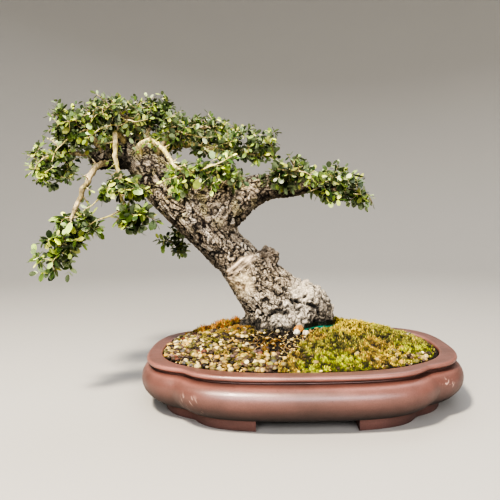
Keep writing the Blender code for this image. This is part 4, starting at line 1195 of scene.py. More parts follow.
# %% Which ground a place belongs to
def bed_share(name, x, y):
    """Below 1 inside a moss bed, with an uneven edge."""
    x, y = np.asarray(x, float), np.asarray(y, float)
    uneven = 0.05 * np.sin(x / 5.3 + y / 7.1) + 0.05 * np.sin(y / 4.1 - x / 9.7)
    if name == "moss_bed_right":
        left = np.interp(y, MOSS_LEFT_Y, MOSS_LEFT_X)
        share = 1.0 + (left - x) / 26.0 + uneven * 2
        return np.maximum(share, rim_fraction(x, y) / 0.985)
    centre, half_width, half_depth, _ = MOSS_BEDS[name]
    dx, dy = (x - centre[0]) / half_width, (y - centre[1]) / half_depth
    return np.maximum(np.hypot(dx, dy) + uneven, rim_fraction(x, y) / 0.975)


def bare_share(x, y):
    """Below 1 on the bare earth round the trunk."""
    return np.hypot((x - BARE_CENTRE[0]) / BARE_SIZE[0], (y - BARE_CENTRE[1]) / BARE_SIZE[1])


def dark_share(x, y):
    """Below 1 on the dark earth in front of the trunk, with an uneven edge."""
    x, y = np.asarray(x, float), np.asarray(y, float)
    uneven = 0.12 * np.sin(x / 6.1 + y / 9.3) + 0.1 * np.sin(y / 5.7 - x / 8.3)
    return np.hypot((x - DARK_EARTH[0]) / DARK_SIZE[0], (y - DARK_EARTH[1]) / DARK_SIZE[1]) + uneven


def mossy(x, y):
    """Whether a moss bed covers the place."""
    return min(bed_share(name, x, y) for name in MOSS_BEDS) < 1.0 and bare_share(x, y) > 1.0


print("ground", smooth_ground(np.array([-20.0, 60.0]), np.array([50.0, -60.0])).round(1))

# %% [markdown]
# ### The soil's surface
#
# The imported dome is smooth, and real soil is crumbs. Rings of points run from the lip to the
# dome's top, lifted by noise of 7 and 3 mm. The colours go from near black, where the earth is
# damp in front of the trunk, to brown.

# %% The soil: a fine dome of damp crumbs, closed inside the pot
SOIL_TURNS = 260
SOIL_RINGS = 76
# The lowest ring, hidden in the pot: its share of the rim and its height.
SOIL_FOOT = 0.93
SOIL_FOOT_Z = 40.0


def make_soil():
    turns = np.linspace(0.0, 2 * math.pi, SOIL_TURNS, endpoint=False)
    half_width, half_depth = POT_INNER_RIM
    edge = oval_radius(turns, half_width - SOIL_INSET, half_depth - SOIL_INSET, INNER_SQUARENESS)
    edge_x, edge_y = edge * np.cos(turns), edge * np.sin(turns)
    rows = [np.stack([edge_x * SOIL_FOOT, edge_y * SOIL_FOOT, np.full(SOIL_TURNS, SOIL_FOOT_Z)], 1)]
    for step in range(SOIL_RINGS + 1):
        share = 1.0 - step / (SOIL_RINGS + 0.5)
        x = DOME_CENTRE.x + (edge_x - DOME_CENTRE.x) * share
        y = DOME_CENTRE.y + (edge_y - DOME_CENTRE.y) * share
        flat = np.stack([x, y, np.zeros(SOIL_TURNS)], 1)
        calm = eased(1.0 - rim_fraction(x, y), 0.0, 0.05)
        crumb = varied(flat, 7.0) * 2.2 + varied(flat, 2.6, 2.0) * 1.3
        rows.append(np.stack([x, y, smooth_ground(x, y) + crumb * calm - 0.6], 1))
    points = np.concatenate(rows)
    light = np.clip(0.5 + varied(points, 3.1, 5.0) + 0.5 * varied(points, 24.0, 1.0), 0, 1)[:, None]
    tones = blend(colour("#120d09"), colour("#3a2d20"), light)
    damp = 1.0 - eased(dark_share(points[:, 0], points[:, 1]), 0.75, 1.1)
    tones = tones * (1.0 - 0.5 * damp[:, None])
    heap = Heap()
    heap.add(points, grid_faces(len(rows), SOIL_TURNS), tones)
    heap.build("soil_dome", [earth], ["soil"], "earth")


make_soil()

# %% [markdown]
# ### Loose grit
#
# Grains of flint, quartz and limestone lie on the soil, packed at the left and thin under the
# moss. A physics run could drop them, but takes minutes. Here a few pebbles are shaped once, by
# pushing a ball in and out. Each grain is a copy, turned, scaled and sunk by chance. Larger ones
# were washed to the rim. One seed keeps every run the same.

# %% Loose grit, with larger pebbles at the left and front left
GRIT_COUNT = 3700
GRIT_SEED = 11
PEBBLE_KINDS = 12
# A little over a whole turn, in radians.
WHOLE_TURN = 6.3
GRIT_COLOURS = {
    "#d8c48a": 20, "#bf9c54": 19, "#786058": 7, "#77716a": 4, "#8c5540": 3, "#3c2e22": 24, "#e8d8aa": 7,
    "#64503e": 18, "#c6ad6c": 17, "#868042": 14,
}


def pebble_shapes(count):
    """A few worn pebbles: balls pushed in and out and squashed."""
    shapes = []
    for k in range(count):
        bm = bmesh.new()
        bmesh.ops.create_icosphere(bm, subdivisions=2 if k % 2 else 1, radius=1.0)
        for vert in bm.verts:
            vert.co *= 1.0 + 0.42 * noise.noise(vert.co * 1.3 + UP * k * 9)
        points, faces = taken(bm)
        shapes.append((points * (1.0, 0.82, 0.66), faces))
    return shapes


def scatter_grit():
    rng = random.Random(GRIT_SEED)
    shapes = pebble_shapes(PEBBLE_KINDS)
    reach_x, reach_y = POT_INNER_RIM[0] - 2.0, POT_INNER_RIM[1] - 2.0
    heap = Heap()
    placed = 0
    while placed < GRIT_COUNT:
        x, y = rng.uniform(-reach_x, reach_x), rng.uniform(-reach_y, reach_y)
        share = float(rim_fraction(x, y))
        if share > 0.985:
            continue
        thin = 1.0
        if mossy(x, y):
            thin = 0.3 if x > 96 else 0.09
        elif dark_share(x, y) < 1.0 or bare_share(x, y) < 1.15:
            thin = 0.2
        if rng.random() > thin:
            continue
        size = rng.uniform(0.8, 2.0)
        large = 0.5 if share > 0.72 and (y < -50 or x < -120) else 0.2 if x < -40 else 0.06
        if rng.random() < large:
            size = rng.uniform(2.1, 4.3)
        # Small grains take the plain shapes, which are the even ones.
        kind = rng.randrange(PEBBLE_KINDS) if size > 1.7 else 2 * rng.randrange(PEBBLE_KINDS // 2)
        points, faces = shapes[kind]
        turned = Matrix.Rotation(rng.uniform(0, WHOLE_TURN), 3, "Z")
        spin = turned @ Matrix.Rotation(rng.uniform(-0.5, 0.5), 3, "X")
        centre = np.array([x, y, float(smooth_ground(x, y)) + size * rng.uniform(0.2, 0.75)])
        code = rng.choices(list(GRIT_COLOURS), list(GRIT_COLOURS.values()))[0]
        tone = colour(code) * rng.uniform(0.3, 1.1)
        heap.add(points @ np.array(spin).T * size + centre, faces, tone)
        placed += 1
    heap.build("loose_grit", [grit])


scatter_grit()

# %% [markdown]
# ### Moss cushions
#
# Moss grows in cushions 7 to 15 mm wide that press against each other, with creases between them darkened
# by painted shade. The colour goes by kind and by drought: lime where it is wet, rust where it has dried. A
# hair system could grow the shoots, but hair is lost when the model is exported. So each tuft is a spike of
# four triangles on a lumpy base, with painted shade at its foot.

# %% Moss cushions, and the tufts that cover them
LIME = "#8b9525"
OLIVE = "#7c7a34"
BRIGHT = "#a59137"
RUST = "#8e7434"
DARK_MOSS = "#545428"
STRAW = "#bda85c"
# Patches of moss in the right bed: (x, y, reach, colour).
MOSS_PATCHES = [
    (-14, -92, 20, RUST), (8, -102, 17, LIME), (20, -112, 13, LIME), (40, -100, 16, LIME),
    (62, -104, 17, LIME), (80, -88, 22, RUST), (112, -76, 20, BRIGHT), (130, -54, 14, LIME),
    (152, -50, 16, LIME), (60, -52, 22, DARK_MOSS), (36, -60, 17, OLIVE), (92, -46, 20, RUST),
    (104, -20, 22, DARK_MOSS), (132, -12, 22, OLIVE), (60, -8, 24, BRIGHT), (80, 16, 24, BRIGHT),
    (110, 20, 24, OLIVE), (70, 42, 20, BRIGHT), (140, 20, 22, OLIVE), (10, -72, 17, OLIVE),
    (40, -20, 16, OLIVE), (20, -40, 14, RUST), (90, 70, 24, BRIGHT), (50, 80, 20, OLIVE),
    (125, -96, 14, OLIVE),
]


def moss_tone(x, y, rng):
    """The colour of the nearest patch, with ragged edges and stray tufts of other kinds."""
    where = Vector((x, y, 0.0)) / 9
    px, py = x + 12 * noise.noise(where), y + 12 * noise.noise(where + UP * 7)
    gaps = [
        (math.hypot(px - a, py - b) / reach + rng.uniform(0, 0.75), code)
        for a, b, reach, code in MOSS_PATCHES
    ]
    if rng.random() < 0.32:
        return colour(rng.choice([BRIGHT, OLIVE, RUST, DARK_MOSS, STRAW, LIME]))
    return colour(min(gaps)[1])


# %% The cushions' height and shade
def bed_height(name, x, y):
    """The top of a moss bed: a swelling with lumps, down to its edge."""
    thickness = MOSS_BEDS[name][3]
    share = np.minimum(1.0, bed_share(name, x, y))
    calm = (1.0 - share**6) * eased(bare_share(x, y), 1.0, 1.12)
    swell = thickness * (1.0 - share**4) * 0.7
    return smooth_ground(x, y) + (1.0 + swell) * (0.25 + 0.75 * calm) + moss_lumps(x, y) * calm


def moss_lumps(x, y):
    """Cushions of 14 mm and 7 mm, rounded on top, with creases between them."""
    flat = np.stack([x, y, np.full(np.shape(x), 5.0)], 1)
    large = 1.0 - 2.2 * np.abs(varied(flat, 15.0))
    small = 1.0 - 2.2 * np.abs(varied(flat, 7.5, 1.0))
    return 3.8 * large + 2.6 * small + 0.7 * varied(flat, 2.5, 2.0) - 3.2


def painted_crease_shade(x, y):
    """Painted shade: dark in the creases between the moss's lumps, and between its clumps of 4 mm."""
    clumps = varied(np.stack([x, y, np.full(np.shape(x), 9.0)], 1), 4.0, 3.0)
    return (0.12 + 1.2 * eased(moss_lumps(x, y), -2.6, 1.6)) * (0.3 + 1.15 * eased(clumps, -0.32, 0.26))


# %% A tuft
TUFT_FACES = [(0, 1, 3), (1, 2, 3), (2, 0, 3), (2, 1, 0)]
THIRD_TURN = 2.09
TUFT_FOOT = -0.8


def add_tuft(heap, place, reach, turn, tip, tone):
    """A moss shoot: a spike with three sides and a closed foot, with painted shade that makes the foot
    darker than the tip.
    """
    turns = [turn + k * THIRD_TURN for k in range(3)]
    foot = [(reach * math.cos(t), reach * math.sin(t), TUFT_FOOT) for t in turns]
    # Painted shade at the foot of each shoot.
    heap.add(np.array([*foot, tip]) + place, TUFT_FACES, np.stack([tone * 0.4] * 3 + [tone]))


print(len(TUFT_FACES), "triangles in a tuft")


# %% A bed and its tufts
def make_moss(name, step, tufts, tall, tone_of):
    """A bed of moss: a lumpy sheet, and tufts all over it."""
    rng = random.Random(name)
    centre, half_width, half_depth, _ = MOSS_BEDS[name]
    columns = int(2 * half_width / step)
    rows = int(2 * half_depth / step)
    grid_x, grid_y = np.meshgrid(
        np.linspace(centre[0] - half_width, centre[0] + half_width, columns),
        np.linspace(centre[1] - half_depth, centre[1] + half_depth, rows),
    )
    x, y = grid_x.ravel(), grid_y.ravel()
    z = bed_height(name, x, y)
    inside = (bed_share(name, x, y) < 1.0) & (bare_share(x, y) > 1.0)
    quads = np.array(grid_faces(rows, columns, closed=False))
    quads = quads[inside[quads].all(axis=1)]
    used = np.unique(quads)
    place = np.full(len(x), -1)
    place[used] = np.arange(len(used))
    # The sheet beneath the tufts gets painted shade, darkest in the creases.
    hollow = painted_crease_shade(x[used], y[used])
    tones = np.array([tone_of(a, b, rng) * 0.45 * h for a, b, h in zip(x[used], y[used], hollow)])
    heap = Heap()
    heap.add(np.stack([x, y, z], 1)[used], place[quads], tones)
    spots = []
    while len(spots) < tufts:
        a = rng.uniform(centre[0] - half_width, centre[0] + half_width)
        b = rng.uniform(centre[1] - half_depth, centre[1] + half_depth)
        if bed_share(name, a, b) < 0.99 and bare_share(a, b) > 1.0:
            spots.append((a, b))
    spots = np.array(spots)
    heights = bed_height(name, spots[:, 0], spots[:, 1])
    hollow = painted_crease_shade(spots[:, 0], spots[:, 1])
    for (a, b), level, light in zip(spots, heights, hollow):
        tall_now = rng.uniform(*tall) * (0.75 + 0.35 * light)
        lean = np.array([rng.gauss(0, 0.3), rng.gauss(0, 0.3), 1.0]) * tall_now
        turn = rng.uniform(0, WHOLE_TURN)
        reach = rng.uniform(0.6, 1.0)
        tone = tone_of(a, b, rng) * rng.uniform(0.6, 1.6) * light
        add_tuft(heap, (a, b, level), reach, turn, lean, tone)
    return heap


def brown_tone(x, y, rng):
    """A brown by chance, whatever the place."""
    return colour(rng.choice(["#a2662f", "#8c5429", "#a67c3a", "#7d6a30", "#6f7a2e"]))


heap = make_moss("moss_bed_right", step=1.9, tufts=25000, tall=(1.2, 2.9), tone_of=moss_tone)
heap.build("moss_cushion_right", [moss], ["moss_bed_right"], "moss")
heap = make_moss("moss_bed_back_left", step=1.9, tufts=3600, tall=(2.5, 6.0), tone_of=brown_tone)
heap.build("moss_cushion_back_left", [moss], ["moss_bed_back_left"], "brown_moss")

# %% [markdown]
# ### Sparse moss and fine roots
#
# Thin moss creeps between the grains at the left, and the tree's fine roots show as pale threads
# on the earth in front of the trunk. The tufts are the same spikes, kept only where noise makes a
# clump. The roots are thin tubes that wander and arch a little above the ground.

# %% Sparse moss among the grit
# Patches among the grit: (x, y, reach, colours).
SPARSE_MOSS = [
    (-140, 40, 46, ["#a89e42", "#7d7c34", "#b8a84e"]),
    (-100, 40, 40, ["#a0863a", "#8a7434", "#b09a48"]),
    (-112, -62, 26, ["#8a7838", "#9c8840", "#5c5c2a"]),
    (-60, -86, 30, ["#7f7838", "#957c3c"]),
    (-78, 4, 34, ["#8d7638", "#7a7034"]),
    (-120, -20, 34, ["#90883c", "#6b6a30"]),
    (-44, -60, 26, ["#94642c", "#7c6a30"]),
    (-84, 26, 24, ["#b06a2c", "#a88238"]),
]
SPARSE_SEED = 5
# Tufts tried in each square millimetre of a patch's reach.
SPARSE_TRIES = 2.2


def make_sparse_moss():
    rng = random.Random(SPARSE_SEED)
    heap = Heap()
    for centre_x, centre_y, reach, codes in SPARSE_MOSS:
        for _ in range(int(reach * reach * SPARSE_TRIES)):
            x, y = rng.gauss(centre_x, reach * 0.5), rng.gauss(centre_y, reach * 0.45)
            clump = noise.noise(Vector((x, y, 3.0)) / 7)
            if clump < 0.02 or float(rim_fraction(x, y)) > 0.96 or bare_share(x, y) < 1.0 or mossy(x, y):
                continue
            tall = rng.uniform(1.0, 2.6)
            turn = rng.uniform(0, WHOLE_TURN)
            tip = (rng.gauss(0, 0.3) * tall, rng.gauss(0, 0.3) * tall, tall)
            place = (x, y, float(smooth_ground(x, y)) + 1.2 + 3.0 * clump)
            tone = colour(rng.choice(codes)) * rng.uniform(0.6, 1.3)
            add_tuft(heap, place, 0.6, turn, tip, tone)
    heap.build("sparse_moss", [moss])


make_sparse_moss()

# %% Fine roots on the bare earth
ROOT_SEED = 21
ROOT_COUNT = 16
ROOT_POINTS = 9
ROOT_STEP = 3.2


def make_fine_roots():
    rng = random.Random(ROOT_SEED)
    heap = Heap()
    for _ in range(ROOT_COUNT):
        x, y = rng.uniform(-70, -6), rng.uniform(-62, 4)
        aim = rng.uniform(-2.6, -0.6)
        points = []
        for k in range(ROOT_POINTS):
            arch = 2.5 * math.sin(math.pi * k / (ROOT_POINTS - 1))
            points.append(Vector((x, y, float(smooth_ground(x, y)) + 0.6 + arch, 0.55 - 0.04 * k)))
            aim += rng.uniform(-0.45, 0.45)
            x += ROOT_STEP * math.cos(aim)
            y += ROOT_STEP * math.sin(aim)
        tube(heap, points, 6, colour("#b5a078") * rng.uniform(0.6, 1.1))
    heap.build("fine_roots", [stem_bark])


make_fine_roots()

# %% [markdown]
# ## Stones
#
# Three worn pieces of sandstone lie at the trunk's foot, one rusty and two pale. Each starts from
# a finely divided ball. Broad noise pushes its sides in, small noise chips it, and a scale makes
# it longer than it is high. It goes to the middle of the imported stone's box, so it rests where
# that one rests.

# %% Three stones
STONES = {
    "stone_orange": ((1, -8), (6.8, 5.2, 5.4), 0.4, "#b98444", "orange_stone"),
    "stone_white": ((-3, -19), (5.2, 4.4, 4.0), 1.1, "#e6dfcd", "pale_stone"),
    "stone_cream": ((8.5, -20), (4.8, 4.2, 3.6), 2.0, "#dccdb0", "pale_stone"),
}


def make_stone(name):
    centre, sizes, turn, code, slot = STONES[name]
    low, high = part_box(name)
    bm = bmesh.new()
    bmesh.ops.create_icosphere(bm, subdivisions=5, radius=1.0)
    for vert in bm.verts:
        start = vert.co.copy()
        push = 0.22 * noise.noise(start * 1.4 + Vector(centre).to_3d())
        vert.co = start * (1.0 + push + 0.04 * noise.fractal(start * 4, 1, 2, 4))
    spin = Matrix.Rotation(turn, 4, "Z") @ Matrix.Diagonal((*sizes, 1.0))
    bmesh.ops.transform(bm, matrix=spin, verts=bm.verts)
    points, faces = taken(bm)
    middle = (np.array(low) + np.array(high)) / 2
    points = points + (middle - PLACE) / MM
    light = np.clip(0.85 + 0.35 * varied(points, 3.0, 4.0), 0.4, 1.1)[:, None]
    heap = Heap()
    heap.add(points, faces, colour(code) * light)
    heap.build(name + "_worn", [stone], [name], slot)


for name in STONES:
    make_stone(name)

# %% [markdown]
# ### The tie and the nets
#
# A strip of green plastic ties the root ball down. Only its front shows, with painted shade over most of it
# and a painted highlight along its lower edge. The imported solid has the right shape, but too few points
# to carry two colours, so it is copied, cut fine and coloured by height. The nets keep their imported
# shape.

# %% The tie
def make_strap():
    """The tie, with painted shade above and a painted highlight on its lower edge."""
    bm = bmesh.new()
    bm.from_mesh(bpy.data.objects["anchor_strap"].data)
    bmesh.ops.triangulate(bm, faces=bm.faces)
    bmesh.ops.subdivide_edges(bm, edges=bm.edges, cuts=7, use_grid_fill=True)
    bmesh.ops.triangulate(bm, faces=bm.faces)
    points, faces = taken(bm)
    points = points / MM - PLACE / MM
    rise = points[:, 2] - smooth_ground(points[:, 0], points[:, 1])
    # A painted highlight along the lower edge, and painted shade above it.
    painted_lit_edge = (1.0 - eased(rise, 2.4, 3.0))[:, None]
    tones = blend(colour("#0a1a16"), colour("#1f8a72"), painted_lit_edge)
    heap = Heap()
    heap.add(points, faces, tones)
    heap.build("tie_strip", [strap_plastic], ["anchor_strap"], "green_strap", smooth=False)


make_strap()

# %% The nets
for name in ("drain_mesh_left", "drain_mesh_right"):
    mesh = bpy.data.objects[name].data
    mesh.materials.clear()
    mesh.materials.append(net_plastic)
    print(f"{name}: {len(mesh.polygons)} faces, now {mesh.materials[0].name}")

# %% [markdown]
# ## The sprays
#
# The foliage grows in pads, trimmed flat by the grower, on crooked stems from the trunk's head
# and the right limb. Copies of one branch would look like copies. So each spray has its own stem,
# and its twigs grow by a rule: draw places inside the pad, far apart from one another, and lead a
# twig to each from the nearest wood. That gives forks, as growth does. The first twigs are those
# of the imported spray, from the same seed.

# %% Stems and foliage pads
# Each spray: its stem as (x, y, z, radius), its pads as (centre, half sizes), and how many of
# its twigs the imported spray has.
SPRAYS = {
    "crown_left_front": (
        [(-250, 8, 314, 5), (-257, -8, 334, 4), (-274, -22, 347, 2.8), (-292, -26, 352, 1.8)],
        [((-283, -24, 348), (24, 32, 25))], 3,
    ),
    "crown_left_back": (
        [(-240, 24, 318, 5), (-250, 46, 341, 4), (-272, 62, 354, 2.8), (-300, 70, 358, 1.8)],
        [((-300, 62, 356), (32, 36, 28))], 2,
    ),
    "crown_top_front": (
        [(-206, 14, 322, 5), (-205, -3, 347, 4), (-217, -18, 363, 2.8), (-238, -28, 370, 1.8)],
        [((-230, -22, 360), (36, 36, 22))], 3,
    ),
    "crown_top_back": (
        [(-210, 34, 320, 5), (-200, 50, 350, 4), (-198, 66, 368, 2.8), (-214, 78, 376, 1.8)],
        [((-195, 62, 374), (42, 38, 24))], 2,
    ),
    "crown_middle_front": (
        [(-182, 8, 312, 5), (-161, -5, 336, 3.8), (-132, -19, 345, 2.8), (-104, -24, 344, 1.8)],
        [((-136, -22, 342), (38, 32, 17))], 3,
    ),
    "crown_middle_back": (
        [(-184, 38, 312, 5), (-158, 50, 338, 3.8), (-124, 60, 348, 2.8), (-94, 66, 346, 1.8)],
        [((-114, 60, 347), (42, 34, 20))], 2,
    ),
    "crown_right": (
        [(-184, 22, 310, 6), (-158, 20, 329, 5), (-125, 15, 325, 4.2), (-93, 11, 319, 3.6),
         (-60, 8, 314, 2.8), (-28, 6, 310, 1.8)],
        [((-60, 10, 325), (42, 38, 19))], 3,
    ),
    "far_left": (
        [(-256, 14, 312, 5), (-280, 6, 318, 3.6), (-305, 0, 317, 2.6), (-326, -3, 308, 1.8)],
        [((-316, 0, 298), (28, 34, 36))], 2,
    ),
    "hanging_left": (
        [(-246, 10, 306, 5.2), (-250, -10, 304, 4.6), (-256, -28, 291, 4.3), (-266, -40, 264, 3.9),
         (-278, -44, 236, 2.8), (-290, -43, 210, 1.8)],
        [((-271, -42, 224), (28, 28, 18)), ((-299, -40, 188), (20, 26, 27))], 3,
    ),
    "front_left": (
        [(-222, 8, 330, 5), (-224, -14, 341, 4.2), (-225, -30, 335, 3.9), (-223, -38, 310, 3.6),
         (-219, -40, 283, 3.2), (-216, -44, 262, 2.5), (-209, -46, 237, 1.8)],
        [((-211, -44, 268), (26, 24, 20)), ((-200, -45, 232), (24, 24, 22))], 3,
    ),
    "middle_front": (
        [(-201, 8, 314, 5), (-199, -14, 324, 4.2), (-183, -25, 330, 3.8), (-167, -28, 319, 3.5),
         (-155, -30, 302, 3.1), (-142, -30, 290, 2.6), (-118, -30, 288, 2.2), (-90, -28, 288, 1.8)],
        [((-143, -30, 278), (24, 20, 24)), ((-89, -26, 284), (28, 26, 26))], 3,
    ),
    "behind_trunk": (
        [(-146, 40, 240, 4.4), (-158, 70, 222, 3), (-166, 84, 202, 1.8)],
        [((-168, 82, 196), (22, 22, 25))], 2,
    ),
    "right_inner_front": (
        [(-26, 16, 272, 4.4), (-16, -2, 284, 3), (-4, -14, 288, 1.8)],
        [((-11, -14, 281), (31, 26, 24))], 2,
    ),
    "right_inner_back": (
        [(-12, 22, 271, 4.4), (-2, 40, 281, 3), (10, 50, 284, 1.8)],
        [((8, 48, 280), (33, 26, 24))], 2,
    ),
    "right_outer_front": (
        [(34, 14, 269, 4), (44, -4, 273, 2.8), (54, -12, 272, 1.8)],
        [((44, -10, 267), (30, 26, 24))], 2,
    ),
    "right_outer_back": (
        [(40, 18, 269, 4), (54, 36, 274, 2.8), (68, 44, 273, 1.8)],
        [((59, 40, 268), (28, 26, 24))], 2,
    ),
    "right_tip": (
        [(70, 13, 263, 3.6), (82, 11, 261, 2.6), (94, 9, 258, 1.8)],
        [((80, 8, 257), (14, 32, 20))], 2,
    ),
}
STEM_STEP = 24.0
SITE_DRAWS = 24
TWIG_BEND = 0.16
SEED = 7
print(sum(len(pads) for _, pads, _ in SPRAYS.values()), "packed pads")

# %% [markdown]
# ### Between the pads
#
# A packed pad is one rounded body. On the tree, thin growth fills the gaps between pads, and some
# long shoots stand clear of the leaves. Both are listed here for the sprays that have them.

# %% Thin growth and long shoots
# Twigs in the scene for each litre of foliage pad.
TWIG_DENSITY = 540.0
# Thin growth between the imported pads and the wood: (centre, half sizes).
FILL = {
    "crown_left_front": [((-266, -16, 330), (24, 22, 15)), ((-288, -30, 334), (16, 16, 12))],
    "crown_left_back": [((-262, 50, 340), (28, 26, 14))],
    "crown_top_front": [((-214, -12, 341), (28, 22, 13))],
    "crown_top_back": [((-200, 52, 348), (34, 26, 13))],
    "crown_middle_front": [((-164, -10, 331), (28, 20, 12))],
    "crown_middle_back": [((-148, 50, 334), (32, 24, 12))],
    "crown_right": [((-66, 4, 309), (28, 22, 9)), ((-114, 4, 318), (24, 20, 11))],
    "far_left": [((-296, -8, 321), (20, 22, 16)), ((-290, -18, 290), (14, 14, 13))],
    "hanging_left": [((-286, -42, 206), (18, 20, 14))],
    "front_left": [((-230, -42, 262), (15, 14, 11)), ((-204, -44, 250), (17, 16, 12))],
    "middle_front": [((-117, -28, 288), (22, 20, 15))],
    "right_inner_front": [((-35, 0, 284), (15, 18, 12))],
}
# Long shoots that stand clear of the leaves. Each starts from the nearest wood.
SHOOTS = {
    "front_left": [
        [(-216, -46, 268), (-230, -48, 263), (-249, -50, 252), (-266, -48, 238)],
        [(-206, -46, 244), (-224, -50, 240), (-244, -50, 232), (-262, -48, 221)],
    ],
    "crown_left_front": [
        [(-262, -24, 338), (-256, -34, 349), (-249, -40, 360), (-243, -42, 371)],
        [(-262, -26, 344), (-276, -38, 334), (-290, -46, 320), (-298, -48, 304)],
    ],
    "crown_top_front": [
        [(-214, -20, 352), (-228, -38, 346), (-243, -44, 340), (-256, -44, 330)],
        [(-222, -24, 362), (-208, -42, 352), (-194, -44, 350), (-180, -42, 353)],
    ],
    "far_left": [[(-296, -4, 320), (-306, -22, 316), (-316, -34, 308), (-324, -38, 296)]],
    "crown_middle_front": [[(-150, -16, 342), (-138, -38, 336), (-120, -44, 330), (-104, -44, 330)]],
    "middle_front": [[(-130, -30, 290), (-112, -46, 292), (-96, -50, 298), (-80, -48, 306)]],
}
print(sum(len(shoots) for shoots in SHOOTS.values()), "long shoots")


# %% Places for twig ends
# A pad is flatter below than above, by this factor.
PAD_BELOW = 0.55


def draw_sites(rng, pads, count):
    """Places for twig ends, each drawn far from the earlier ones, mostly near a pad's skin."""
    sites = []
    for _ in range(count):
        best, best_gap = None, -1.0
        for _ in range(SITE_DRAWS):
            centre, size = pads[rng.randrange(len(pads))]
            aim = Vector((rng.gauss(0, 1), rng.gauss(0, 1), rng.gauss(0, 1))).normalized()
            reach = rng.uniform(0.45, 1.0) ** 0.6
            drop = PAD_BELOW if aim.z < 0 else 1.0
            x = centre[0] + size[0] * aim.x * reach
            y = centre[1] + size[1] * aim.y * reach
            place = Vector((x, y, centre[2] + size[2] * aim.z * reach * drop))
            gap = min(((place - other).length for other in sites), default=1.0)
            if gap > best_gap:
                best, best_gap = place, gap
        sites.append(best)
    return sites


# %% Twigs
TWIG_STEP = 7.0
TWIG_RADIUS = 1.3
TWIG_TAPER = 0.55


def grow_twigs(rng, stem, sites):
    """A twig from the nearest wood to each site. Returns each twig's points."""
    wood = [(point.xyz, point.w) for point in stem[2:]]
    twigs = []
    for site in sites:
        start, radius = min(wood, key=lambda bit: (bit[0] - site).length)
        span = site - start
        sway = Vector((rng.uniform(-1, 1), rng.uniform(-1, 1), rng.uniform(-0.2, 1)))
        bend = sway * span.length * TWIG_BEND
        count = max(3, round(span.length / TWIG_STEP))
        first = min(TWIG_RADIUS, radius)
        points = []
        for k in range(count + 1):
            t = k / count
            place = start + span * t + bend * math.sin(math.pi * t)
            points.append(Vector((*place, first * (1.0 - TWIG_TAPER * t))))
        twigs.append(points)
        wood += [(point.xyz, point.w) for point in points[1:]]
    return twigs


def point_back(twig, distance):
    """The point on a twig this far back from its tip."""
    for ahead, behind in zip(reversed(twig), list(reversed(twig))[1:]):
        span = (behind.xyz - ahead.xyz).length
        if distance <= span:
            return ahead.xyz.lerp(behind.xyz, distance / span)
        distance -= span
    return twig[0].xyz.copy()


print("a twig's tip is", round(TWIG_RADIUS * (1.0 - TWIG_TAPER), 2), "mm in radius")


# %% Uneven foliage, clear of the trunk
def ragged(site):
    """A twig end moved by up to 9 mm, so that the foliage has bays and stray ends."""
    swing = [noise.noise(site / 17 + UP * shift) for shift in (3, 11, 19)]
    return site + Vector(swing) * 18.0


WOOD_CORE = [p for limb in (TRUNK, STUB, RIGHT_LIMB, SHOULDER) for p in curved(limb, 8.0)]


def in_wood(place):
    """Whether the place is inside the trunk or a limb."""
    return any((p.xyz - place).length_squared < (p.w * 0.98) ** 2 for p in WOOD_CORE)


print("points down the middle of the wood:", len(WOOD_CORE))


# %% [markdown]
# ### Stems and twigs
#
# Old stems are crooked, with a knob at each joint where leaves once stood and a skin mottled
# from grey to straw. A smooth tube looks like rubber, so the tube has a ring of points every
# 1.7 mm: noise moves and swells them, every joint bulges, and each ring takes its own colour.

# %% Crooked stems with knobs
PALE_TWIG = colour("#d2c090")
GREY_TWIG = colour("#a59376")
DARK_TWIG = colour("#5d4c3a")
OLIVE_TWIG = colour("#a9a05c")
JOINT_STEP = 13.0


def add_stem(heap, rng, points, fresh):
    """A knobbly stem. Fresh runs from 0, grey and old, to 1, straw and green."""
    fine = curved(points, 1.7)
    phase = rng.uniform(0, JOINT_STEP)
    shift = rng.uniform(0, 90)
    rings = []
    tones = []
    along = 0.0
    for k, point in enumerate(fine):
        if k:
            along += (point.xyz - fine[k - 1].xyz).length
        joint = math.exp(-(((along + phase) % JOINT_STEP - JOINT_STEP / 2) / 1.3) ** 2)
        place = point.xyz
        wave = Vector([noise.noise(place / 11 + UP * (shift + n)) for n in (0, 7, 15)])
        calm = min(1.0, along / 8.0)
        swell = 0.84 + 0.16 * joint + 0.12 * noise.noise(place / 5.5 + UP * shift)
        rings.append(Vector((*(place + wave * 2.0 * calm), point.w * swell)))
        patch = float(np.clip(0.5 + 1.1 * noise.noise(place / 7 - UP * shift), 0, 1))
        old = blend(DARK_TWIG, GREY_TWIG, patch)
        young = blend(OLIVE_TWIG, PALE_TWIG, patch)
        tones.append(blend(old, young, fresh) * (1.0 - 0.35 * joint))
    sides = 10
    tube(heap, rings, sides, np.concatenate([np.repeat(tones, sides, axis=0), [tones[0], tones[-1]]]), 2)


print("a joint about every", JOINT_STEP, "mm")


# %% [markdown]
# ### Leaves
#
# Each leaf is a thin oval, 5 to 14 mm long and a few up to 20, dished along its midrib. A picture
# of a leaf on a flat card is the quick way, but it has no thickness and shows its square edge
# from the side. Here each leaf is a mesh. One sheet of faces would need one finish for both
# sides, so two sheets a hair apart give the green top and the grey felt.

# %% A leaf: two oval sheets folded a little along the midrib
# Rows from stalk to tip: (share of length, share of half width, droop).
LEAF_ROWS = [(0.17, 0.66, 0.0), (0.5, 1.0, 0.02), (0.83, 0.74, 0.07)]


def leaf_sheet(lift):
    """The points of an oval sheet 1 long, with the midrib raised by lift."""
    points = [(0.0, 0.0, 0.0)]
    for t, half, droop in LEAF_ROWS:
        points += [(t, half, -droop), (t, 0.0, -droop - 0.03 + lift), (t, -half, -droop)]
    points.append((1.0, 0.0, -0.14))
    return np.array(points)


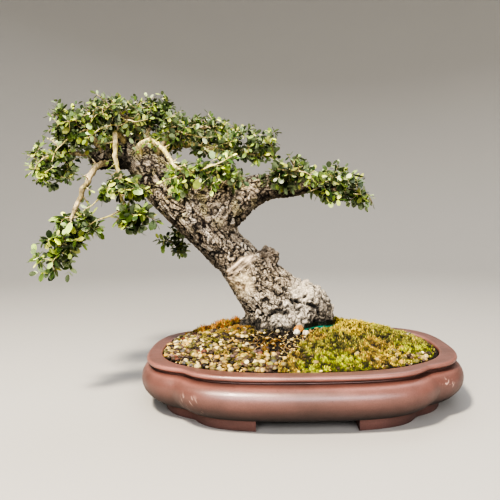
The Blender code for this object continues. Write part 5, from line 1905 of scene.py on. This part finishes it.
def leaf_faces():
    faces = [(0, 2, 1), (0, 3, 2)]
    for row in range(len(LEAF_ROWS) - 1):
        a = 1 + 3 * row
        for k in (0, 1):
            faces += [(a + k, a + k + 1, a + k + 4), (a + k, a + k + 4, a + k + 3)]
    a = 1 + 3 * (len(LEAF_ROWS) - 1)
    return np.array(faces + [(a, a + 1, a + 3), (a + 1, a + 2, a + 3)])


LEAF_TOP, LEAF_BOTTOM = leaf_sheet(0.018), leaf_sheet(-0.018)
LEAF_FACES = leaf_faces()
print(2 * len(LEAF_FACES), "triangles in a leaf")

# %% [markdown]
# ### Leaves on a twig
#
# Olive leaves stand in opposite pairs, each pair turned a quarter from the last. They turn their
# faces up and out to the light. Old leaves are dark, new ones yellow-green. Those deep in the pad
# get little light, so their colour is darker too.

# %% One leaf in its place
LEAF_GREENS = [
    "#5e7030", "#52642a", "#7e8a40", "#425426", "#31421e",
    "#556634", "#949850", "#6b7a42", "#293a1c", "#889070",
]
YOUNG_GREEN = "#9aa63c"
UNDER_GREEN = "#7c8a66"


def add_leaf(heap, rng, base, aim, normal, length, depth):
    """A leaf from its base. Depth is 0 at the middle of the foliage and 1 outside."""
    side = normal.cross(aim).normalized()
    normal = aim.cross(side).normalized()
    axes = np.array([aim, side, normal])
    half = length * rng.uniform(0.26, 0.36)
    size = np.array([length, half, length])
    stalk = np.array(base) + np.array(aim) * 0.8
    code = YOUNG_GREEN if rng.random() < 0.03 * depth else rng.choice(LEAF_GREENS)
    # Painted shade: leaves deep in the foliage are darker.
    light = rng.uniform(0.62, 1.9) * (0.38 + 0.7 * depth * depth)
    heap.add(LEAF_TOP * size @ axes + stalk, LEAF_FACES, colour(code) * light, 0)
    felt = colour(UNDER_GREEN) * light
    heap.add(LEAF_BOTTOM * size @ axes + stalk, LEAF_FACES[:, ::-1], felt, 1)


print(len(LEAF_GREENS), "greens for grown leaves")


# %% Pairs of leaves along a twig
LONG_LEAF = 1.4
LONG_LEAF_SHARE = 0.08


def leafy_twig(heap, rng, twig, pads, pairs, size=1.0):
    """Opposite pairs of leaves back from the tip, each pair across the last, and one at the tip."""
    tip, along, side, other = frames(twig)[-1]
    spin = rng.uniform(0, math.pi)
    plan = [(tip, along, rng.uniform(5.5, 8.5) * size)]
    back = rng.uniform(2.0, 3.5)
    for pair in range(pairs):
        place = point_back(twig, back)
        back += rng.uniform(4.0, 6.4)
        angle = spin + pair * math.pi / 2
        across = side * math.cos(angle) + other * math.sin(angle)
        for sign in (-1, 1):
            aim = along * rng.uniform(0.3, 0.8) + across * sign + UP * rng.uniform(-0.15, 0.25)
            length = rng.uniform(6.0, 10.5) * (0.75 + 0.25 * min(1, pair / 2)) * size
            length *= LONG_LEAF if rng.random() < LONG_LEAF_SHARE else 1.0
            plan.append((place, aim.normalized(), length))
    for place, aim, length in plan:
        away = [(place - Vector(centre), Vector(size)) for centre, size in pads]
        scaled = [Vector((gap.x / size.x, gap.y / size.y, gap.z / size.z)) for gap, size in away]
        outward = min(scaled, key=lambda gap: gap.length)
        depth = min(1.0, outward.length)
        swing = Vector((rng.uniform(-1, 1), rng.uniform(-1, 1), rng.uniform(-0.4, 0.4))) * 0.75
        face = UP * 0.75 + outward * 0.65 + swing
        face -= aim * face.dot(aim)
        if not in_wood(place + aim * length * 0.5):
            add_leaf(heap, rng, place, aim, face.normalized(), length, depth)


print("one leaf in", round(1 / LONG_LEAF_SHARE), "is long")


# %% Short side shoots
SPUR_GAP = 9.0


def spurs(rng, stem_points):
    """Short side shoots, spread evenly along a stem."""
    found = []
    for place, along, side, other in frames(curved(stem_points, SPUR_GAP))[1:]:
        turn = rng.uniform(0, WHOLE_TURN)
        aim = (side * math.cos(turn) + other * math.sin(turn) + along * 0.7 + UP * 0.25).normalized()
        reach = rng.uniform(7.0, 15.0)
        bend = UP * rng.uniform(-1.5, 2.5)
        shares = (0, 0.35, 0.7, 1)
        found.append([Vector((*(place + aim * reach * t + bend * t * t), 1.2 - 0.6 * t)) for t in shares])
    return [spur for spur in found if not in_wood(spur[-1].xyz)]


print(len(spurs(random.Random(0), SPRAYS["far_left"][0])), "side shoots on the far left stem")

# %% [markdown]
# ### Growing a spray
#
# Now each spray is put together: stem, side shoots, twigs with their leaves, and long shoots.
# Leaves on the crown are small, because it is trimmed often. On the hanging sprays they are
# larger. A spray is one mesh, because a tree grows as one piece. Three sprays stand in the crown's
# shadow, which the studio light makes deeper than daylight does, so their leaves are made paler.


# %% Each spray
# Stems with young straw-coloured bark.
YELLOW_STEMS = ("front_left", "crown_right", "middle_front")
# How much paler the leaves of a shaded spray are made.
PALER = {"middle_front": 1.6, "far_left": 1.25, "hanging_left": 1.25}
# Between the pads, twigs stand this much thinner than in them.
FILL_SHARE = 0.8
# The volume of a ball with a radius of 1.
BALL = 4.19


def litres(pads):
    return sum(BALL * sx * sy * sz for _, (sx, sy, sz) in pads) / 1e6


def leaf_size(name):
    """Small on the trimmed crown, large on the other sprays at the left."""
    if "crown" in name or "far" in name:
        return 1.0
    return 1.35 if "left" in name else 1.15


def add_shoot(heap, rng, stem_points, shoot, pads):
    """A long thin shoot from the nearest place on the stem, with leaves at its end."""
    start = min(curved(stem_points, 4.0), key=lambda p: (p.xyz - Vector(shoot[0])).length)
    points = [(*start.xyz, 1.5)] + [(*p, 1.4 - 0.25 * k) for k, p in enumerate(shoot)]
    add_stem(heap, rng, points, fresh=0.9)
    leafy_twig(heap, rng, curved(points, 5.0), pads, pairs=3)


def make_spray(name):
    """One spray, from its stem to its leaves. Returns how many twigs it has."""
    stem_points, pads, packed = SPRAYS[name]
    rng = random.Random(f"{SEED} spray_{name}")
    stem = curved(stem_points, STEM_STEP)
    count = max(packed, round(TWIG_DENSITY * litres(pads)))
    sites = draw_sites(rng, pads, count)
    sites = sites[:packed] + [ragged(site) for site in sites[packed:]]
    fill = FILL.get(name, [])
    thin = draw_sites(rng, fill, round(TWIG_DENSITY * FILL_SHARE * litres(fill)))
    sites += [ragged(site) for site in thin]
    sites = [site for site in sites if not in_wood(site)]
    twigs = grow_twigs(rng, stem, sites)
    size = leaf_size(name)
    heap = Heap()
    add_stem(heap, rng, stem_points, 0.75 if name in YELLOW_STEMS else 0.25)
    leafy_twig(heap, rng, stem, pads, 4)
    for spur in spurs(rng, stem_points):
        tube(heap, spur, 6, (GREY_TWIG + PALE_TWIG) * rng.uniform(0.3, 0.5), 2)
        leafy_twig(heap, rng, spur, pads, rng.choice((0, 1, 2)))
    for twig in twigs:
        tube(heap, twig, 5, PALE_TWIG * rng.uniform(0.45, 1.05), 2)
        leafy_twig(heap, rng, twig, pads + fill, rng.choice((2, 3, 3, 4, 5)), size)
    for shoot in SHOOTS.get(name, []):
        add_shoot(heap, rng, stem_points, shoot, pads)
    heap.lighten(PALER.get(name, 1.0))
    heap.build("leaves_" + name, [leaf_top, leaf_under, stem_bark], ["spray_" + name], "leaves")
    return len(twigs)


print(sum(make_spray(name) for name in SPRAYS), "twigs")

# %% [markdown]
# ## The stage
#
# A studio hides its corner with a sheet of paper that curves up behind the object. The model is
# looked at from all sides, so this floor is turned on a lathe instead: flat in the middle, and
# curved up all round.

# %% A pale floor that curves up all round
# In metres: the flat part's reach, how far the curve runs out, and how high it ends.
FLAT_REACH = 1.5
CURVE_OUT = 2.0
CURVE_UP = 2.4
FLOOR_TURNS = 96


def make_floor():
    rows = [(FLAT_REACH * k / 10, 0.0) for k in range(11)]
    for angle in np.linspace(0, math.pi / 2, 24)[1:]:
        rows.append((FLAT_REACH + CURVE_OUT * math.sin(angle), CURVE_UP - CURVE_UP * math.cos(angle)))
    turns = np.linspace(0, 2 * math.pi, FLOOR_TURNS, endpoint=False)
    points = [(r * math.cos(t), r * math.sin(t), z) for r, z in rows[1:] for t in turns]
    faces = grid_faces(len(rows) - 1, FLOOR_TURNS)
    points.append((0.0, 0.0, 0.0))
    faces += [(j, (j + 1) % FLOOR_TURNS, len(points) - 1) for j in range(FLOOR_TURNS)]
    mesh = bpy.data.meshes.new("floor")
    mesh.from_pydata(points, [], faces)
    bm = bmesh.new()
    bm.from_mesh(mesh)
    bmesh.ops.recalc_face_normals(bm, faces=bm.faces)
    bm.to_mesh(mesh)
    bm.free()
    mesh.polygons.foreach_set("use_smooth", [True] * len(mesh.polygons))
    paper, _, _ = finish("matte_backdrop_paper", Base_Color=(*colour("#aaa7a1"), 1.0), Roughness=0.9)
    mesh.materials.append(paper)
    put("floor", mesh)


make_floor()

# %% [markdown]
# ### Light
#
# The tree stood in sunshine under an open sky. A small area lamp from the front left is the sun:
# small, so that the leaves throw crisp shadows. A long soft box in front gives the pot its long
# highlight. A weak one high behind keeps the back readable, and the world's pale light fills the
# shadows. The contrast of sunlight comes from the view's look.

# %% Lamps and world
def add_light(name, place, target, size, power, tint):
    lamp = bpy.data.lights.new(name, "AREA")
    lamp.shape = "RECTANGLE"
    lamp.size, lamp.size_y = size
    lamp.energy = power
    lamp.color = colour(tint)
    obj = put(name, lamp)
    obj.location = place
    obj.rotation_euler = (Vector(target) - Vector(place)).to_track_quat("-Z", "Y").to_euler()


add_light("sun_like_key", (-0.55, -0.95, 1.75), (0.0, 0.0, 0.15), (0.25, 0.25), 66.0, "#fff4e2")
add_light("long_front_softbox", (0.1, -1.8, 0.95), (0.05, 0.0, 0.1), (2.6, 0.9), 46.0, "#fbfaff")
add_light("high_back_fill", (0.4, 1.5, 2.3), (0.0, 0.0, 0.15), (2.4, 1.4), 26.0, "#f6f7fb")
world = bpy.data.worlds.new("studio")
world.use_nodes = True
world.node_tree.nodes["Background"].inputs["Color"].default_value = (*colour("#eef1f4"), 1.0)
world.node_tree.nodes["Background"].inputs["Strength"].default_value = 0.36
bpy.context.scene.world = world
bpy.context.scene.view_settings.look = "AgX - Very High Contrast"
print(len(bpy.data.lights), "lamps")

# %% [markdown]
# ### Camera
#
# The camera stands 0.7 m from the pot and 0.24 m high, so near that the front lip looks larger
# than the back one. Its place and its turns were fitted to the rim's ellipse and the pot's base
# line. Its axes are worked out by hand, because it also leans by one degree.


# %% The camera, as fitted to the photograph
CAMERA_PLACE = (-48.33, -715.2, 238.25)
# The lens reaches 550 pixels far, and the horizon is 38 pixels above the picture's middle.
PITCH = math.atan(38.0 / 550.0)
YAW = math.radians(1.04)
ROLL = math.radians(-1.07)
lens = bpy.data.cameras.new("camera")
lens.lens = 39.6
lens.sensor_width = 36.0
lens.clip_end = 20.0
camera = put("camera", lens)
ahead = Vector((-math.sin(YAW) * math.cos(PITCH), math.cos(YAW) * math.cos(PITCH), -math.sin(PITCH)))
right = Vector((math.cos(YAW), math.sin(YAW), 0.0))
up = right.cross(ahead)
tilted_right = right * math.cos(ROLL) + up * math.sin(ROLL)
tilted_up = up * math.cos(ROLL) - right * math.sin(ROLL)
turn = Matrix((tilted_right, tilted_up, -ahead)).transposed().to_4x4()
camera.matrix_world = Matrix.Translation(Vector(PLACE) + Vector(CAMERA_PLACE) * MM) @ turn
bpy.context.scene.camera = camera
print("camera at", [round(c, 3) for c in camera.matrix_world.translation])
